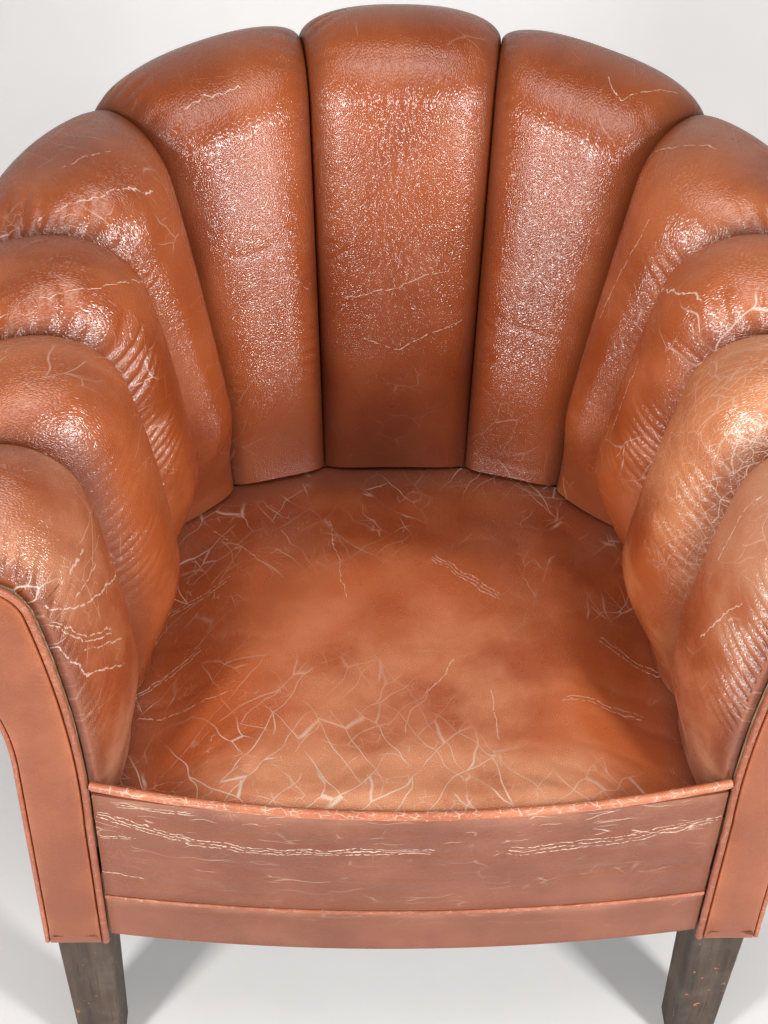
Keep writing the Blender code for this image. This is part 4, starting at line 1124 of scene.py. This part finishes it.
def makeWoven(name, dark, light, threads, roughness):
    material, tree, shader = newMaterial(name)
    place = objectPlace(tree)
    weave = placeGroup(tree, coarseWeave, {"Place": place, "Threads": threads})
    color = mixColor(tree, fade(tree, weave["Height"], 0.1, 0.9), dark, light)
    color = mixColor(tree, times(tree, fade(tree, weave["Fray"], 0.45, 0.8), 0.4), color, dark)
    tree.links.new(color, shader.inputs["Base Color"])
    shader.inputs["Roughness"].default_value = roughness
    addBump(tree, shader, weave["Height"], distance=0.0004)
    return material


def makeSteel():
    material, tree, shader = newMaterial("springSteel")
    place = objectPlace(tree)
    spots = noise(tree, place, 60.0, 4.0, 0.6, flat=False)
    color = mixColor(tree, fade(tree, spots, 0.5, 0.7), (0.50, 0.49, 0.46), (0.24, 0.13, 0.07))
    tree.links.new(color, shader.inputs["Base Color"])
    tree.links.new(fade(tree, spots, 0.4, 0.7, 0.35, 0.75), shader.inputs["Roughness"])
    shader.inputs["Metallic"].default_value = 1.0
    return material


slotFinish = {
    "leg_wood": makeWood("legWood", (0.032, 0.019, 0.012), (0.095, 0.059, 0.038), (0.42, 0.15, 0.045), 55.0),
    "frame_wood": makeWood("frameWood", (0.36, 0.22, 0.11), (0.60, 0.42, 0.25), None, 40.0),
    "jute": makeWoven("jute", (0.30, 0.21, 0.11), (0.58, 0.45, 0.29), 2600.0, 0.9),
    "dust_cloth": makeWoven("dustCloth", (0.012, 0.012, 0.013), (0.05, 0.05, 0.052), 5200.0, 0.95),
    "spring_steel": makeSteel(),
}
for subpart in frame["record"]["subparts"]:
    if subpart["material_slot"] in slotFinish:
        mesh = frame["nodes"][subpart["node"]].data
        mesh.materials.clear()
        mesh.materials.append(slotFinish[subpart["material_slot"]])


# Room, lights and camera

room = {
    "floor": (0.86, 0.84, 0.825),
    "glow": 0.05,
    "backGlow": 0.38,
    "halfWidth": 4.0,
    "front": -3.0,
    "wallAt": 1.35,
    "bend": 0.5,
    "wallTop": 3.0,
}


def makeRoom():
    turn = np.linspace(0, math.pi / 2, 16)
    curve = zip(room["wallAt"] + room["bend"] * np.sin(turn), room["bend"] * (1 - np.cos(turn)))
    profile = [(room["front"], 0.0), *curve, (room["wallAt"] + room["bend"], room["wallTop"])]
    points = [(x, y, z) for y, z in profile for x in (-room["halfWidth"], room["halfWidth"])]
    faces = [(2 * k, 2 * k + 1, 2 * k + 3, 2 * k + 2) for k in range(len(profile) - 1)]
    mesh = bpy.data.meshes.new("studioFloor")
    mesh.from_pydata(points, [], faces)
    mesh.shade_smooth()
    floor = putInScene("studioFloor", mesh)
    material, tree, shader = newMaterial("studioFloor")
    place = objectPlace(tree)
    patches = noise(tree, place, 3.0, 5.0, 0.6)
    darker = tuple(c * 0.96 for c in room["floor"])
    color = mixColor(tree, fade(tree, patches, 0.35, 0.7), darker, room["floor"])
    tree.links.new(color, shader.inputs["Base Color"])
    shader.inputs["Roughness"].default_value = 0.9
    # floor and backdrop glow a little, the backdrop more, for the camera alone
    seen = addNode(tree, "ShaderNodeLightPath").outputs["Is Camera Ray"]
    depth = addNode(tree, "ShaderNodeSeparateXYZ", {"Vector": place}).outputs["Y"]
    high = fade(tree, depth, 0.4, 1.3)
    tree.links.new(color, shader.inputs["Emission Color"])
    strength = calc(tree, "MULTIPLY_ADD", high, room["backGlow"], room["glow"])
    tree.links.new(times(tree, seen, strength), shader.inputs["Emission Strength"])
    mesh.materials.append(material)


lamps = {
    "leftBox": {"at": (-1.04, -1.40, 1.04), "size": (0.24, 1.0), "watts": 23.5},
    "rightBox": {"at": (1.10, -1.38, 1.04), "size": (0.24, 1.0), "watts": 26.0},
    "topBox": {"at": (0.0, -0.6, 2.7), "size": (1.8, 1.4), "watts": 20.0},
}


def addLamp(name, lamp, aim=(0.0, 0.0, 0.45)):
    light = bpy.data.lights.new(name, "AREA")
    light.shape = "RECTANGLE"
    light.size, light.size_y = lamp["size"]
    light.energy = lamp["watts"]
    holder = putInScene(name, light)
    holder.location = lamp["at"]
    holder.rotation_euler = (Vector(aim) - Vector(lamp["at"])).to_track_quat("-Z", "Y").to_euler()


camera = {
    "at": (-0.07255, facingY - 0.90304, 1.54104),
    "yaw": 0.04598,
    "pitch": 0.7327,
    "roll": 0.03221,
    "lens": 59.77,
}


def placeCamera():
    yaw, pitch, roll = camera["yaw"], camera["pitch"], camera["roll"]
    ahead = Vector((math.sin(yaw) * math.cos(pitch), math.cos(yaw) * math.cos(pitch), -math.sin(pitch)))
    right = Vector((math.cos(yaw), -math.sin(yaw), 0.0))
    up = right.cross(ahead)
    right, up = math.cos(roll) * right + math.sin(roll) * up, math.cos(roll) * up - math.sin(roll) * right
    data = bpy.data.cameras.new("photoCamera")
    data.lens, data.sensor_width, data.sensor_fit = camera["lens"], 36.0, "AUTO"
    holder = putInScene("photoCamera", data)
    holder.matrix_world = Matrix.Translation(camera["at"]) @ Matrix((right, up, -ahead)).transposed().to_4x4()
    bpy.context.scene.camera = holder


makeRoom()
for name, lamp in lamps.items():
    addLamp(name, lamp)
world = bpy.data.worlds.new("studio")
bpy.context.scene.world = world
world.use_nodes = True
sky = world.node_tree.nodes["Background"]
sky.inputs["Color"].default_value = (1.0, 0.985, 0.97, 1.0)
sky.inputs["Strength"].default_value = 0.09
placeCamera()
bpy.context.scene.view_settings.view_transform = "Standard"
print("room, lights and camera set")
